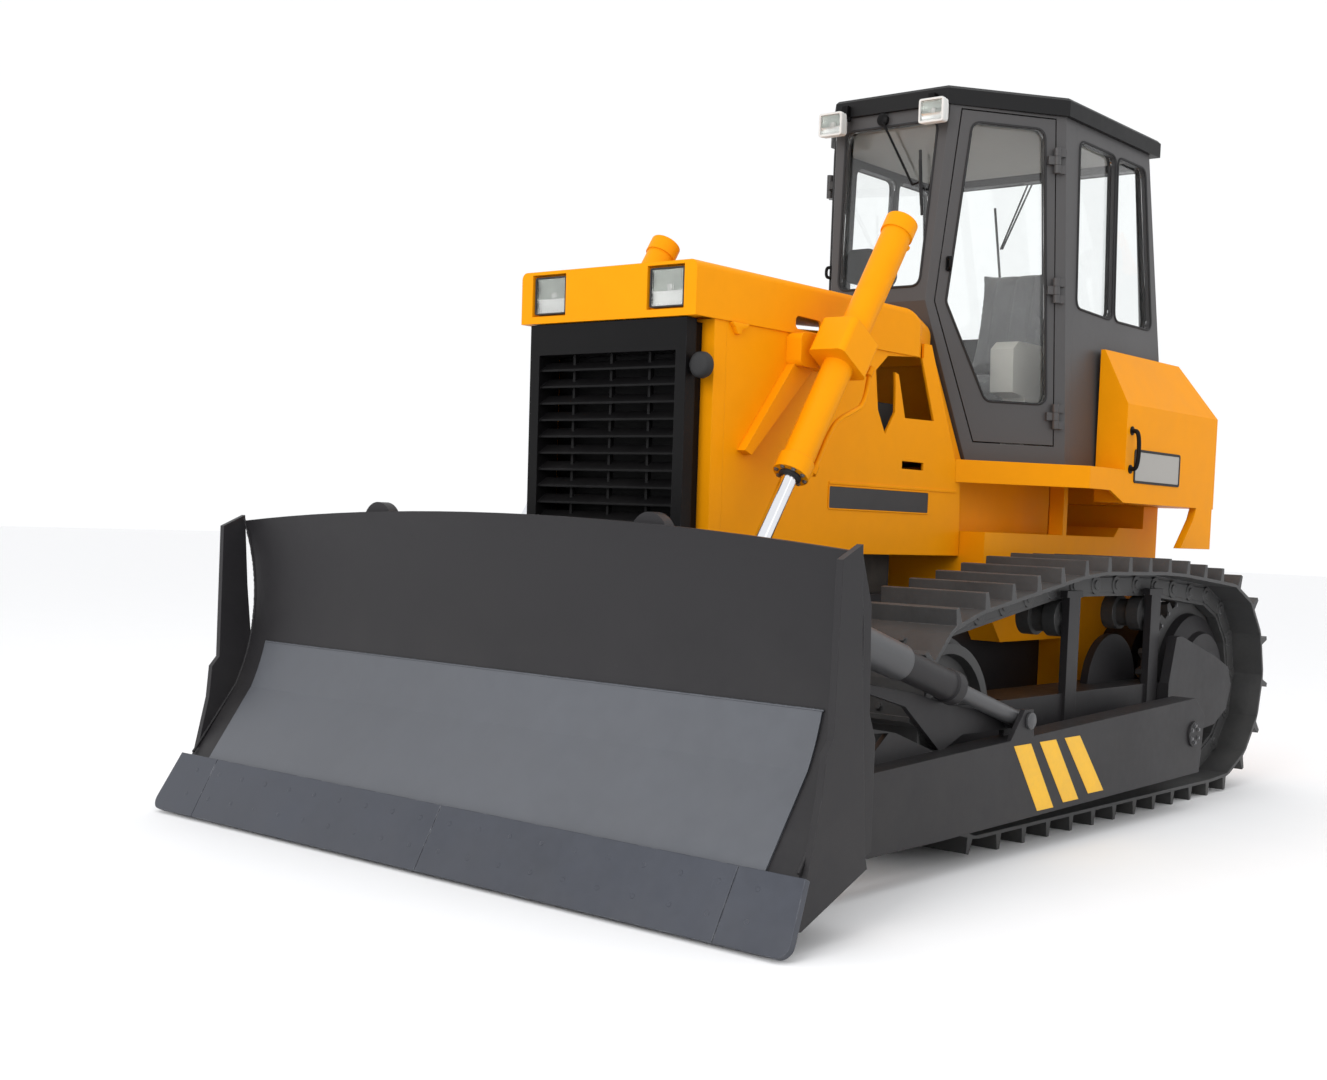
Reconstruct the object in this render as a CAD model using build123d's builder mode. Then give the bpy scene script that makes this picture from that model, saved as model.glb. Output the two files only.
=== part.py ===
from build123d import *
import os
from math import acos, atan2, cos, hypot, pi, radians, sin

os.makedirs("parts", exist_ok=True)

# A 160 horsepower crawler bulldozer with a straight blade.  Millimetres, +Z up.
# The front faces -Y, the driver's left is +X, the ground is Z = 0.
# The origin lies on the ground, midway along and across the machine.
# Outlines are tables of (Y, height) unless a comment names other columns.

# ---------------------------------------------------------------- driving sizes
overall_length = 5140
front_y = -overall_length / 2
rear_y = overall_length / 2
skin = 12

# Track chain and shoes
shoe_pitch = 203.2
shoe_count = 36
shoe_width = 510
track_gauge = 1880
track_mid_x = track_gauge / 2
track_in_x = track_mid_x - shoe_width / 2
track_out_x = track_mid_x + shoe_width / 2
grouser_height = 65
shoe_plate = 15
link_above = 52
link_below = 53
chain_z = grouser_height + shoe_plate + link_above
sprocket_teeth = 27
sprocket_radius = shoe_pitch / 2 / sin(2 * pi / sprocket_teeth)
sprocket_y = 1600
sprocket_z = chain_z + sprocket_radius
idler_radius = 390
idler_z = chain_z + idler_radius
carrier_ys = (160, 970)
carrier_chain_z = 1068

# Blade, its push arms and the pivot on the track frames
pivot_y = 950
pivot_z = 370
pivot_radius = 60
running_fit = 0.08
blade_half = 1640
edge_half = 1694
edge_drop_z = 6
arm_in_x = track_out_x + 17
arm_width = 120
arm_out_x = arm_in_x + arm_width
arm_mid_x = arm_in_x + arm_width / 2
blade_back_y = front_y + 510

# Lift cylinders: the pivot on the machine and the eye on the blade
lift_x = 660
lift_y = -1030
lift_z = 1985
eye_y = front_y + 670
eye_z = 600
barrel_radius = 62
rod_radius = 32

# Engine bay
hood_half = 472
panel_half = 464
hood_front_y = -1708
guard_front_y = -1590
guard_rear_y = -1520
hood_low_z = 2050
hood_top_z = 2255
panel_low_z = 1175

# Cab, floor and tank
floor_z = 1620
cab_wall = 50
cab_top_z = 3250
cab_kink_z = 2351
cab_sill_z = 2230
roof_top_z = cab_top_z + 85
door_gap = 6
glass = 6
floor_thick = 15
fender_x = 900
fascia_low_z = 1515
tank_low_z = 1460
tank_front_y = 950
tank_rear_y = 2000


# ---------------------------------------------------------------- shared helpers
def keep(builder, label):
    builder.part.label = label
    export_step(builder.part, f"parts/{label}.step")
    print(f"{label:22s} {builder.part.volume / 1e6:9.2f} dm3  solids {len(builder.part.solids())}")


def plate_x(points, x_from, x_to, mode=Mode.ADD, round_by=0):
    """A flat plate: an outline in Y and Z, from one X to another."""
    with BuildSketch(Plane.YZ.offset(min(x_from, x_to))) as outline:
        with BuildLine():
            Polyline(*points, close=True)
        make_face()
        if round_by:
            fillet(outline.vertices(), round_by)
    extrude(outline.sketch, amount=abs(x_to - x_from), mode=mode)


def plate_z(points, z_from, z_to, mode=Mode.ADD):
    """A flat plate: a plan outline in X and Y, from one height to another."""
    with BuildSketch(Plane.XY.offset(z_from)) as outline:
        with BuildLine():
            Polyline(*points, close=True)
        make_face()
    extrude(outline.sketch, amount=z_to - z_from, mode=mode)


def block(x_from, x_to, y_from, y_to, z_from, z_to, mode=Mode.ADD):
    """A box between two X, two Y and two Z."""
    outline = ((y_from, z_from), (y_to, z_from), (y_to, z_to), (y_from, z_to))
    plate_x(outline, x_from, x_to, mode)


def disc_x(y, z, radius, x_from, x_to, mode=Mode.ADD):
    """A round bar along X."""
    with BuildSketch(Plane.YZ.offset(min(x_from, x_to))) as outline:
        with Locations((y, z)):
            Circle(radius)
    extrude(outline.sketch, amount=abs(x_to - x_from), mode=mode)


def turned_x(x, y, z, profile, outward=1):
    """A turned piece about X; its profile is a table of (distance outward, radius)."""
    with BuildSketch(Plane(origin=(x, y, z), x_dir=(1, 0, 0), z_dir=(0, -1, 0))) as section:
        with BuildLine():
            Polyline(*[(outward * along, radius) for along, radius in profile], close=True)
        make_face()
    revolve(section.sketch, axis=Axis((x, y, z), (1, 0, 0)))


def bar_yz(x, start, end, radius, mode=Mode.ADD):
    """A round bar in a fore-and-aft plane, from one (y, z) to another."""
    way = Vector(0, end[0] - start[0], end[1] - start[1])
    with BuildSketch(Plane(origin=(x, *start), x_dir=(1, 0, 0), z_dir=way)) as outline:
        Circle(radius)
    extrude(outline.sketch, amount=way.length, mode=mode)


def both_halves(half):
    """A closed plan outline from the (X, Y) points of its left half, front first."""
    return [(x, y) for x, y in half] + [(-x, y) for x, y in reversed(half)]


def on_circle(centre, radius, angle):
    return (centre[0] + radius * cos(angle), centre[1] + radius * sin(angle))


sides = ((1, "left"), (-1, "right"))


# ---------------------------------------------------------------- track loop
# The chain's pitch line: level below, round the sprocket, over two carrier
# rollers and round the idler.  Runs are (start, end) or (centre, radius, from, sweep).
def upper_tangent(centre, radius, point, way):
    """Angle on a wheel where a line to a point above it touches."""
    reach = hypot(point[0] - centre[0], point[1] - centre[1])
    aim = atan2(point[1] - centre[1], point[0] - centre[0])
    return aim + way * acos(radius / reach)


def loop_runs(idler_y):
    rear = (sprocket_y, sprocket_z)
    front = (idler_y, idler_z)
    high_rear = (carrier_ys[1], carrier_chain_z)
    high_front = (carrier_ys[0], carrier_chain_z)
    leave = upper_tangent(rear, sprocket_radius, high_rear, -1)
    meet = upper_tangent(front, idler_radius, high_front, 1)
    leave_point = on_circle(rear, sprocket_radius, leave)
    meet_point = on_circle(front, idler_radius, meet)
    return [
        ("line", (idler_y, chain_z), (sprocket_y, chain_z)),
        ("arc", rear, sprocket_radius, -pi / 2, leave + pi / 2),
        ("line", leave_point, high_rear),
        ("line", high_rear, high_front),
        ("line", high_front, meet_point),
        ("arc", front, idler_radius, meet, 3 * pi / 2 - meet),
    ]


def run_length(run):
    if run[0] == "line":
        return hypot(run[2][0] - run[1][0], run[2][1] - run[1][1])
    return run[2] * run[4]


def loop_length(idler_y):
    return sum(run_length(run) for run in loop_runs(idler_y))


def closed_idler_y():
    """The idler's place at which the loop is a whole number of shoes."""
    near, far = sprocket_y - 1200, sprocket_y - 4000
    for _ in range(50):
        middle = (near + far) / 2
        if loop_length(middle) < shoe_pitch * shoe_count:
            near = middle
        else:
            far = middle
    return middle


def loop_point(runs, distance):
    distance = distance % (shoe_pitch * shoe_count)
    for run in runs:
        length = run_length(run)
        if distance <= length:
            break
        distance -= length
    share = min(distance / length, 1)
    if run[0] == "line":
        return tuple(a + (b - a) * share for a, b in zip(run[1], run[2]))
    return on_circle(run[1], run[2], run[3] + run[4] * share)


idler_y = closed_idler_y()
track_runs = loop_runs(idler_y)
pins = [loop_point(track_runs, shoe_pitch * k) for k in range(shoe_count)]

# columns: place along the link as a share of the pitch, height above the shoe plate
grouser_profile = ((0.06, 0), (0.76, 0), (0.80, grouser_height), (0.90, grouser_height), (0.95, 0))


def shoe_outline():
    """Outer edge of the shoes: a flat plate and one grouser for each link."""
    points = []
    for k, start in enumerate(pins):
        end = pins[(k + 1) % shoe_count]
        along = Vector(end[0] - start[0], end[1] - start[1])
        out = Vector(along.Y, -along.X).normalized()
        for share, height in grouser_profile:
            spot = Vector(*start) + along * share + out * (link_above + shoe_plate + height)
            points.append((spot.X, spot.Y))
    return points


def chain_outline(height):
    """A closed line at one height above or below the pins."""
    points = []
    for k, pin in enumerate(pins):
        along = Vector(*pins[(k + 1) % shoe_count]) - Vector(*pins[k - 1])
        out = Vector(along.Y, -along.X).normalized()
        spot = Vector(*pin) + out * height
        points.append((spot.X, spot.Y))
    return points


link_rows = ((-90, -35), (35, 90))
link_sink = 4
for side, name in sides:
    with BuildPart() as track:
        plate_x(shoe_outline(), side * track_in_x, side * track_out_x)
        plate_x(chain_outline(link_above), side * track_in_x, side * track_out_x, Mode.SUBTRACT)
        for row_in, row_out in link_rows:
            x_from = side * track_mid_x + row_in
            with BuildSketch(Plane.YZ.offset(x_from)):
                with BuildLine():
                    Polyline(*chain_outline(link_above + link_sink), close=True)
                make_face()
                with BuildLine():
                    Polyline(*chain_outline(-link_below), close=True)
                make_face(mode=Mode.SUBTRACT)
            extrude(amount=row_out - row_in)
    keep(track, f"track_{name}")

# ---------------------------------------------------------------- wheels in the track
frame_half_x = 140
skirt = 22
axle_half = frame_half_x - skirt
rail_z = chain_z + link_below
roller_radius = 95
roller_z = rail_z + roller_radius
roller_count = 6
roller_first_y = idler_y + 400
roller_last_y = sprocket_y - 560
roller_step = (roller_last_y - roller_first_y) / (roller_count - 1)
# columns: distance outward from the chain's middle, radius
roller_profile = (
    (-axle_half, 0), (-axle_half, 45), (-100, 45), (-100, roller_radius), (-30, roller_radius), (-30, 78),
    (30, 78), (30, roller_radius), (100, roller_radius), (100, 45), (axle_half, 45), (axle_half, 0),
)
with BuildPart() as track_rollers:
    for side, name in sides:
        for k in range(roller_count):
            turned_x(side * track_mid_x, roller_first_y + roller_step * k, roller_z, roller_profile)
keep(track_rollers, "track_rollers")

# Carrier rollers hang on stub axles from posts on the track frame's outer side.
carrier_radius = 84


def chain_distance(y, z):
    """How far a point inside the loop is from the chain's underside."""
    spot = Vector(y, z)
    corners = [Vector(*corner) for corner in chain_outline(-link_below)]
    distances = []
    for start, end in zip(corners, corners[1:] + corners[:1]):
        along = end - start
        share = min(max((spot - start).dot(along) / along.dot(along), 0), 1)
        distances.append((start + along * share - spot).length)
    return min(distances)


def seated_z(y, radius):
    """The height at which a roller just touches the chain above it."""
    low, high = sprocket_z, carrier_chain_z
    for _ in range(30):
        middle = (low + high) / 2
        if chain_distance(y, middle) > radius:
            low = middle
        else:
            high = middle
    return low


carrier_spots = [(y, seated_z(y, carrier_radius)) for y in carrier_ys]
carrier_axle_x = 118
carrier_profile = (
    (-104, 0), (-104, 52), (-100, carrier_radius), (-34, carrier_radius), (-30, 66), (30, 66),
    (34, carrier_radius), (100, carrier_radius), (104, 48), (carrier_axle_x, 48), (carrier_axle_x, 0),
)
with BuildPart() as carrier_rollers:
    for side, name in sides:
        for y, z in carrier_spots:
            turned_x(side * track_mid_x, y, z, carrier_profile, side)
keep(carrier_rollers, "carrier_rollers")

idler_tread = idler_radius - 74
idler_flange = idler_radius - 44
idler_profile = (
    (-axle_half, 0), (-axle_half, 50), (-90, 50), (-90, 95), (-45, 110), (-45, idler_tread - 50),
    (-90, idler_tread - 42), (-90, idler_tread), (-31, idler_tread), (-31, idler_flange), (31, idler_flange),
    (31, idler_tread), (90, idler_tread), (90, idler_tread - 42), (45, idler_tread - 50), (45, 110),
    (90, 95), (90, 50), (axle_half, 50), (axle_half, 0),
)
with BuildPart() as front_idlers:
    for side, name in sides:
        turned_x(side * track_mid_x, idler_y, idler_z, idler_profile)
keep(front_idlers, "front_idlers")

tooth_tip = sprocket_radius + 14
tooth_root = sprocket_radius - 36
sprocket_half_x = 28
# columns: place as a share of one tooth's angle, radius
tooth_profile = ((-0.32, tooth_root), (-0.12, tooth_tip), (0.12, tooth_tip), (0.32, tooth_root))


def tooth_outline():
    centre = (sprocket_y, sprocket_z)
    tooth_angle = 2 * pi / sprocket_teeth
    return [
        on_circle(centre, radius, tooth_angle * (k + share))
        for k in range(sprocket_teeth)
        for share, radius in tooth_profile
    ]


with BuildPart() as drive_sprockets:
    for side, name in sides:
        plate_x(tooth_outline(), side * track_mid_x - sprocket_half_x, side * track_mid_x + sprocket_half_x)
keep(drive_sprockets, "drive_sprockets")

case_half = 600
hub_end = 160
case_reach = case_half - track_mid_x
inner_hub_profile = (
    (case_reach, 0), (case_reach, 300), (-150, 300), (-130, 230), (-sprocket_half_x, 230), (-sprocket_half_x, 0),
)
outer_hub_profile = (
    (sprocket_half_x, 0), (sprocket_half_x, 340), (70, 330), (100, 250), (130, 240), (130, 150),
    (hub_end, 150), (hub_end, 0),
)
with BuildPart() as final_drives:
    for side, name in sides:
        for profile in (inner_hub_profile, outer_hub_profile):
            turned_x(side * track_mid_x, sprocket_y, sprocket_z, profile, side)
keep(final_drives, "final_drives")

# Track frames: a box beam with skirts beside the rollers, forks beside the idler,
# posts for the carrier rollers, a rear bracket that holds the hub, and the arm's pivot.
beam_low_z = roller_z + roller_radius + 12
beam_high_z = 590
beam_front_y = idler_y + idler_flange + 30
beam_rear_y = sprocket_y - tooth_tip - 30
skirt_low_z = 235
fork_front_y = idler_y - 60
fork_low_z = 430
post_half = 50
post_cap_half = 72
post_in_x = track_mid_x + carrier_axle_x
post_out_x = post_in_x + 37
post_rise = 124
post_cap = 30
bracket_in_x = track_mid_x + hub_end
bracket_out_x = bracket_in_x + 50
rear_bracket = (
    (1040, 590), (1105, 815), (1160, 818), (1580, 700), (1740, 640), (1790, 540),
    (1740, 420), (1600, 350), (1040, 300),
)
hump_in_x = track_mid_x - 60
hump_out_x = track_mid_x - 20
hump = ((640, beam_high_z - 2), (860, 820), (1130, beam_high_z - 2))
boss_radius = 95
pin_end_x = arm_out_x + 10
with BuildPart() as track_frames:
    for side, name in sides:
        x_in = side * (track_mid_x - frame_half_x)
        x_out = side * (track_mid_x + frame_half_x)
        block(x_in, x_out, beam_front_y, beam_rear_y, beam_low_z, beam_high_z)
        for x_face, x_back in ((x_in, x_in + side * skirt), (x_out, x_out - side * skirt)):
            block(x_face, x_back, beam_front_y, beam_rear_y, skirt_low_z, beam_low_z + 1)
            block(x_face, x_back, fork_front_y, beam_front_y + 1, fork_low_z, beam_high_z)
        for y, z in carrier_spots:
            post_x = (side * post_in_x, side * post_out_x)
            block(*post_x, y - post_half, y + post_half, beam_high_z - 150, z + post_rise)
            block(*post_x, y - post_cap_half, y + post_cap_half, z + post_rise - post_cap, z + post_rise)
        with BuildSketch(Plane.YZ.offset(min(side * hump_in_x, side * hump_out_x))) as hump_face:
            with BuildLine():
                ThreePointArc(*hump)
                Line(hump[2], hump[0])
            make_face()
        extrude(hump_face.sketch, amount=hump_out_x - hump_in_x)
        plate_x(rear_bracket, side * bracket_in_x, side * bracket_out_x)
        block(x_out - side, side * (bracket_in_x + 1), rear_bracket[0][0], beam_rear_y, rear_bracket[-1][1], beam_high_z)
        disc_x(pivot_y, pivot_z, pivot_radius, x_out, side * pin_end_x)
        disc_x(pivot_y, pivot_z, boss_radius, x_out, side * (track_out_x + 2))
keep(track_frames, "track_frames")

# ---------------------------------------------------------------- hull
frame_half = 440
hull_low_z = 420
bay_floor_z = 600
bay_half = 330
bay_rear_y = -60
beam_y = -330
beam_half = 90
beam_top_z = 585
case_front_y = 172
case_step_y = 352
case_step_z = 775
case_join_y = 1000
case_rear_y = 1950
case_top_z = 1290
hull_top_z = 1000
hull_outline = (
    (guard_rear_y, hull_low_z), (case_join_y, hull_low_z), (case_join_y, case_step_z),
    (case_step_y, case_step_z), (case_front_y, hull_top_z), (guard_rear_y, hull_top_z),
)
with BuildPart() as main_frame:
    plate_x(hull_outline, -frame_half, frame_half)
    block(-bay_half, bay_half, guard_rear_y + 60, bay_rear_y, bay_floor_z, hull_top_z, Mode.SUBTRACT)
    block(-frame_half, frame_half, beam_y - beam_half, beam_y + beam_half, hull_low_z, beam_top_z, Mode.SUBTRACT)
keep(main_frame, "main_frame")

engine_half = 300
engine_front_y = -1420
engine_rear_y = -160
engine_top_z = 1850
with BuildPart() as engine_block:
    block(-engine_half, engine_half, engine_front_y, engine_rear_y, bay_floor_z, engine_top_z)
keep(engine_block, "engine_block")

case_outline = (
    (case_front_y, hull_top_z), (case_step_y, case_step_z), (case_join_y, case_step_z), (case_join_y, 430),
    (case_rear_y, 430), (case_rear_y, 1340), (1500, 1340), (1450, case_top_z), (case_front_y, case_top_z),
)
tunnel_half = 400
tunnel_rear_y = 1100
tunnel_top_z = floor_z - 35
mount_in_x = case_half - 80
cab_mount_ys = (900, 940)
tank_mount_ys = (1780, 1950)
with BuildPart() as rear_case:
    plate_x(case_outline, -case_half, case_half)
    block(-tunnel_half, tunnel_half, case_front_y, tunnel_rear_y, case_top_z, tunnel_top_z)
    for side, name in sides:
        block(side * mount_in_x, side * case_half, *cab_mount_ys, case_top_z, floor_z - floor_thick)
    block(-case_half, case_half, *tank_mount_ys, case_top_z, tank_low_z)
keep(rear_case, "rear_case")

hitch_half = 230
hitch_low_z = 480
hitch_high_z = 760
hitch_face_y = rear_y - 240
bolt_spacing_x = 360
bolt_spacing_z = 200
bolt_hole_radius = 13
bolt_depth = 80
tongue_half = 70
tongue_low_z = 560
tongue_high_z = 690
tow_pin_y = rear_y - 95
tow_pin_radius = 26
with BuildPart() as rear_hitch:
    block(-hitch_half, hitch_half, case_rear_y, hitch_face_y, hitch_low_z, hitch_high_z)
    block(-tongue_half, tongue_half, hitch_face_y, rear_y, tongue_low_z, tongue_high_z)
    with BuildSketch(Plane.XY.offset(tongue_low_z)) as tow_hole:
        with Locations((0, tow_pin_y)):
            Circle(tow_pin_radius)
    extrude(amount=tongue_high_z - tongue_low_z, mode=Mode.SUBTRACT)
    with BuildSketch(Plane.XZ.offset(-hitch_face_y)) as bolt_holes:
        with Locations((0, (hitch_low_z + hitch_high_z) / 2)):
            with GridLocations(bolt_spacing_x, bolt_spacing_z, 2, 2):
                Circle(bolt_hole_radius)
    extrude(amount=bolt_depth, mode=Mode.SUBTRACT)
keep(rear_hitch, "rear_hitch")

with BuildPart() as equalizer_beam:
    reach = track_mid_x - frame_half_x
    block(-reach, reach, beam_y - beam_half, beam_y + beam_half, hull_low_z + 20, beam_top_z)
keep(equalizer_beam, "equalizer_beam")

# ---------------------------------------------------------------- engine enclosure
guard_low_z = 700
opening_half = 400
opening_low_z = 1010
opening_high_z = 2036
with BuildPart() as front_guard:
    block(-panel_half, panel_half, guard_front_y, guard_rear_y, guard_low_z, hood_low_z)
    block(-opening_half, opening_half, guard_front_y, guard_rear_y, opening_low_z, opening_high_z, Mode.SUBTRACT)
keep(front_guard, "front_guard")

radiator_depth = 40
with BuildPart() as radiator:
    block(-opening_half, opening_half, guard_rear_y - radiator_depth, guard_rear_y, opening_low_z, opening_high_z)
keep(radiator, "radiator")

# Grille: a framed panel in front of the guard, with sloping louvres below a header.
grille_half = 422
grille_border = 30
grille_front_y = hood_front_y + 8
grille_back_y = grille_front_y + 55
header_low_z = 1925
louvre_count = 14
louvre_step = (header_low_z - opening_low_z) / louvre_count
louvre_drop = 32
louvre_thick = 8
bar_half = 6
bar_places = (-205, 0, 205)
with BuildPart() as grille:
    block(-grille_half, grille_half, grille_front_y, grille_back_y, opening_low_z - 10, opening_high_z + 10)
    block(-opening_half, opening_half, grille_back_y, guard_front_y, opening_low_z, opening_high_z)
    block(
        -opening_half + grille_border, opening_half - grille_border, grille_front_y - 1, guard_front_y + 1,
        opening_low_z + grille_border, header_low_z, Mode.SUBTRACT,
    )
    for k in range(louvre_count):
        z = opening_low_z + louvre_step * (k + 0.5)
        front, back = grille_front_y + 10, grille_back_y
        low = z - louvre_drop
        louvre = ((front, low), (back, z), (back, z + louvre_thick), (front, low + louvre_thick))
        plate_x(louvre, -opening_half + grille_border, opening_half - grille_border)
    for x in bar_places:
        block(x - bar_half, x + bar_half, grille_back_y - 20, grille_back_y, opening_low_z + grille_border, header_low_z)
keep(grille, "grille")

# Hood: a low cap, drawn in behind towards the cab's front wall.
hood_side_end_y = -235
cowl_half = 300
hood_rear_y = 100
lamp_mid_x = 315
lamp_half = 88
lamp_low_z = 2085
lamp_high_z = 2235
lamp_depth = 30
lamp_rim = 7
nose_thick = 50
slant_round = 70
long_round = 28
hood_slot = ((-1115, 2070), (-1115, 2122), (-950, 2118), (-950, 2066))
slot_round = 20


def hood_plan(inset, front_inset):
    """The hood's plan outline, drawn in by a wall's thickness or none."""
    half = (
        (hood_half - inset, hood_front_y + front_inset),
        (hood_half - inset, hood_side_end_y - inset / 2),
        (cowl_half - inset, hood_rear_y - inset),
    )
    return both_halves(half)


with BuildPart() as hood:
    plate_z(hood_plan(0, 0), hood_low_z, hood_top_z)
    top_edges = hood.faces().sort_by(Axis.Z)[-1].edges()
    fillet(top_edges - top_edges.filter_by(Axis.Y) - top_edges.filter_by(Axis.X), slant_round)
    fillet(hood.edges().filter_by(Axis.Y).group_by(Axis.Z)[-1], long_round)
    plate_z(hood_plan(skin, nose_thick), hood_low_z, hood_top_z - skin, Mode.SUBTRACT)
    for side, name in sides:
        x = side * lamp_mid_x
        block(
            x - lamp_half - lamp_rim, x + lamp_half + lamp_rim, hood_front_y, hood_front_y + lamp_depth,
            lamp_low_z - lamp_rim, lamp_high_z + lamp_rim, Mode.SUBTRACT,
        )
        plate_x(hood_slot, side * (hood_half - 2 * skin), side * hood_half, Mode.SUBTRACT, slot_round)
keep(hood, "hood")

with BuildPart() as head_lamps:
    for side, name in sides:
        x = side * lamp_mid_x
        block(x - lamp_half, x + lamp_half, hood_front_y + 6, hood_front_y + lamp_depth, lamp_low_z, lamp_high_z)
keep(head_lamps, "head_lamps")

# Side panels: plates from the guard to a leaning rear edge, with two windows and a slot.
panel_rear_low = (155, 1508)
panel_rear_high = (-127, 2115)
panel_outline = (
    (guard_rear_y, panel_low_z), (169, panel_low_z), panel_rear_low, panel_rear_high, (-188, 2115),
    (-188, hood_low_z), (guard_rear_y, hood_low_z),
)
bay_windows = (
    ((-546, 1962), (-462, 2031), (-408, 2036), (-395, 1900), (-392, 1796), (-461, 1696), (-520, 1795)),
    ((-462, 2031), (-202, 2054), (-84, 1780), (-314, 1776), (-375, 1960), (-430, 1975)),
)
bay_slot = ((-323, 1554), (-323, 1588), (-155, 1588), (-155, 1554))
with BuildPart() as side_panels:
    for side, name in sides:
        x_in, x_out = side * (panel_half - skin), side * panel_half
        plate_x(panel_outline, x_in, x_out)
        for corners in bay_windows + (bay_slot,):
            plate_x(corners, x_in, x_out, Mode.SUBTRACT)
keep(side_panels, "side_panels")

# Cowl: a folded plate that closes the engine bay in front of the cab.
# columns: height, the side panel's rear edge Y, fold X, front wall Y
cowl_levels = (
    (floor_z, panel_rear_low[0] - 52, 405, 246),
    (panel_rear_high[1], panel_rear_high[0], cowl_half, 127),
)
cowl_in_x = panel_half - skin
cowl_cover = ((cowl_in_x, -192), (cowl_in_x, -131), (cowl_half, 127), (cowl_half, 106))


def cowl_ring(level):
    """The folded plate's plan: its rear face from left to right, then its front face back."""
    height, side_y, fold_x, wall_y = level
    rear = [(cowl_in_x, side_y - 4), (fold_x, wall_y), (-fold_x, wall_y), (-cowl_in_x, side_y - 4)]
    inner_x = fold_x - skin / 2
    front = [
        (-cowl_in_x, side_y - 4 - 2 * skin), (-inner_x, wall_y - skin),
        (inner_x, wall_y - skin), (cowl_in_x, side_y - 4 - 2 * skin),
    ]
    return rear + front


with BuildPart() as cowl:
    rings = []
    for level in cowl_levels:
        with BuildSketch(Plane.XY.offset(level[0])) as ring:
            with BuildLine():
                Polyline(*cowl_ring(level), close=True)
            make_face()
        rings.append(ring.sketch)
    loft(rings, ruled=True)
    for side, name in sides:
        plate_z([(side * x, y) for x, y in cowl_cover], panel_rear_high[1] - skin, panel_rear_high[1])
keep(cowl, "cowl")

# ---------------------------------------------------------------- floor, fenders and tank
cab_rear_y = 1640
box_in_x = 738
cab_floor_x = 732
fender_front = (panel_half, 110)
fender_corner_y = 600
slope_from_y = 806
platform_half = (fender_front, (fender_x, fender_corner_y), (fender_x, tank_front_y))
with BuildPart() as floor_platform:
    plate_z(both_halves(platform_half), floor_z - floor_thick, floor_z)
    block(-cab_floor_x, cab_floor_x, tank_front_y, cab_rear_y, floor_z - floor_thick, floor_z)
    plate_z(both_halves(platform_half), fascia_low_z, floor_z - floor_thick)
    inner_half = (
        (panel_half, fender_front[1] - 1),
        (panel_half, fender_front[1] + 20),
        (fender_x - floor_thick, fender_corner_y + 8),
        (fender_x - floor_thick, tank_front_y + 1),
    )
    plate_z(both_halves(inner_half), fascia_low_z, floor_z - floor_thick, Mode.SUBTRACT)
    drop = ((slope_from_y, fascia_low_z + 1), (tank_front_y, tank_low_z), (tank_front_y, fascia_low_z + 1))
    for side, name in sides:
        plate_x(drop, side * (fender_x - floor_thick), side * fender_x)
keep(floor_platform, "floor_platform")

tank_top_z = 2205
tank_shoulder_x = 760
tank_shoulder_z = 1940
tank_slope_y = 1780
bracket_low_z = 1245
fender_bracket = (
    (1620, bracket_low_z), (1760, 1400), (1790, tank_low_z + 1), (1985, tank_low_z + 1), (1985, bracket_low_z),
)
with BuildPart() as fuel_tank:
    with BuildSketch(Plane.XZ.offset(-tank_rear_y)):
        with BuildLine():
            Polyline(*both_halves((
                (fender_x, tank_low_z), (fender_x, tank_shoulder_z), (tank_shoulder_x, tank_top_z),
            )), close=True)
        make_face()
    extrude(amount=tank_rear_y - tank_front_y)
    rear_slope = ((tank_slope_y, tank_top_z + 1), (tank_rear_y + 1, tank_shoulder_z), (tank_rear_y + 1, tank_top_z + 1))
    plate_x(rear_slope, -fender_x, fender_x, Mode.SUBTRACT)
    block(-box_in_x, box_in_x, tank_front_y - 1, cab_rear_y + 10, tank_low_z - 1, tank_top_z + 1, Mode.SUBTRACT)
    for side, name in sides:
        plate_x(fender_bracket, side * (fender_x - 40), side * fender_x)
keep(fuel_tank, "fuel_tank")


# ---------------------------------------------------------------- cab
# The cab's walls are flat.  Each level gives where the front, side and rear walls stand.
# columns: height, front wall Y, side wall X, rear wall Y
door_from = Vector(323, 140)
door_to = Vector(681, 597)
door_way = (door_to - door_from).normalized()
door_out = Vector(door_way.Y, -door_way.X)
side_lean = 0.029
cab_levels = (
    (floor_z, 261, door_to.X + side_lean * (cab_top_z - floor_z), cab_rear_y),
    (cab_sill_z, 109, door_to.X + side_lean * (cab_top_z - cab_sill_z), cab_rear_y),
    (cab_kink_z, 79, door_to.X + side_lean * (cab_top_z - cab_kink_z), cab_rear_y - 21),
    (cab_top_z, 146, door_to.X, 1467),
)


def cab_ring(level, inset):
    """The cab's outline at one level, drawn in by a wall's thickness or none."""
    height, front, side_x, rear = level
    line = door_from - door_out * inset
    front_wall = front + inset
    side_wall = side_x - inset
    front_x = line.X + door_way.X * (front_wall - line.Y) / door_way.Y
    side_y = line.Y + door_way.Y * (side_wall - line.X) / door_way.X
    return both_halves(((front_x, front_wall), (side_wall, side_y), (side_wall, rear - inset)))


def cab_body(inset, mode=Mode.ADD):
    """A closed block as large as the cab, drawn in by an inset."""
    for span in zip(cab_levels, cab_levels[1:]):
        rings = []
        for level in span:
            with BuildSketch(Plane.XY.offset(level[0])) as ring:
                with BuildLine():
                    Polyline(*cab_ring(level, inset), close=True)
                make_face()
            rings.append(ring.sketch)
        loft(rings, ruled=True, mode=mode)


def wall_plane(side):
    """The slanting side wall's plane: x runs rearward along it, y runs up."""
    return Plane(
        origin=(side * door_from.X, door_from.Y, 0),
        x_dir=(side * door_way.X, door_way.Y, 0),
        z_dir=(door_out.X, side * door_out.Y, 0),
    )


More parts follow.
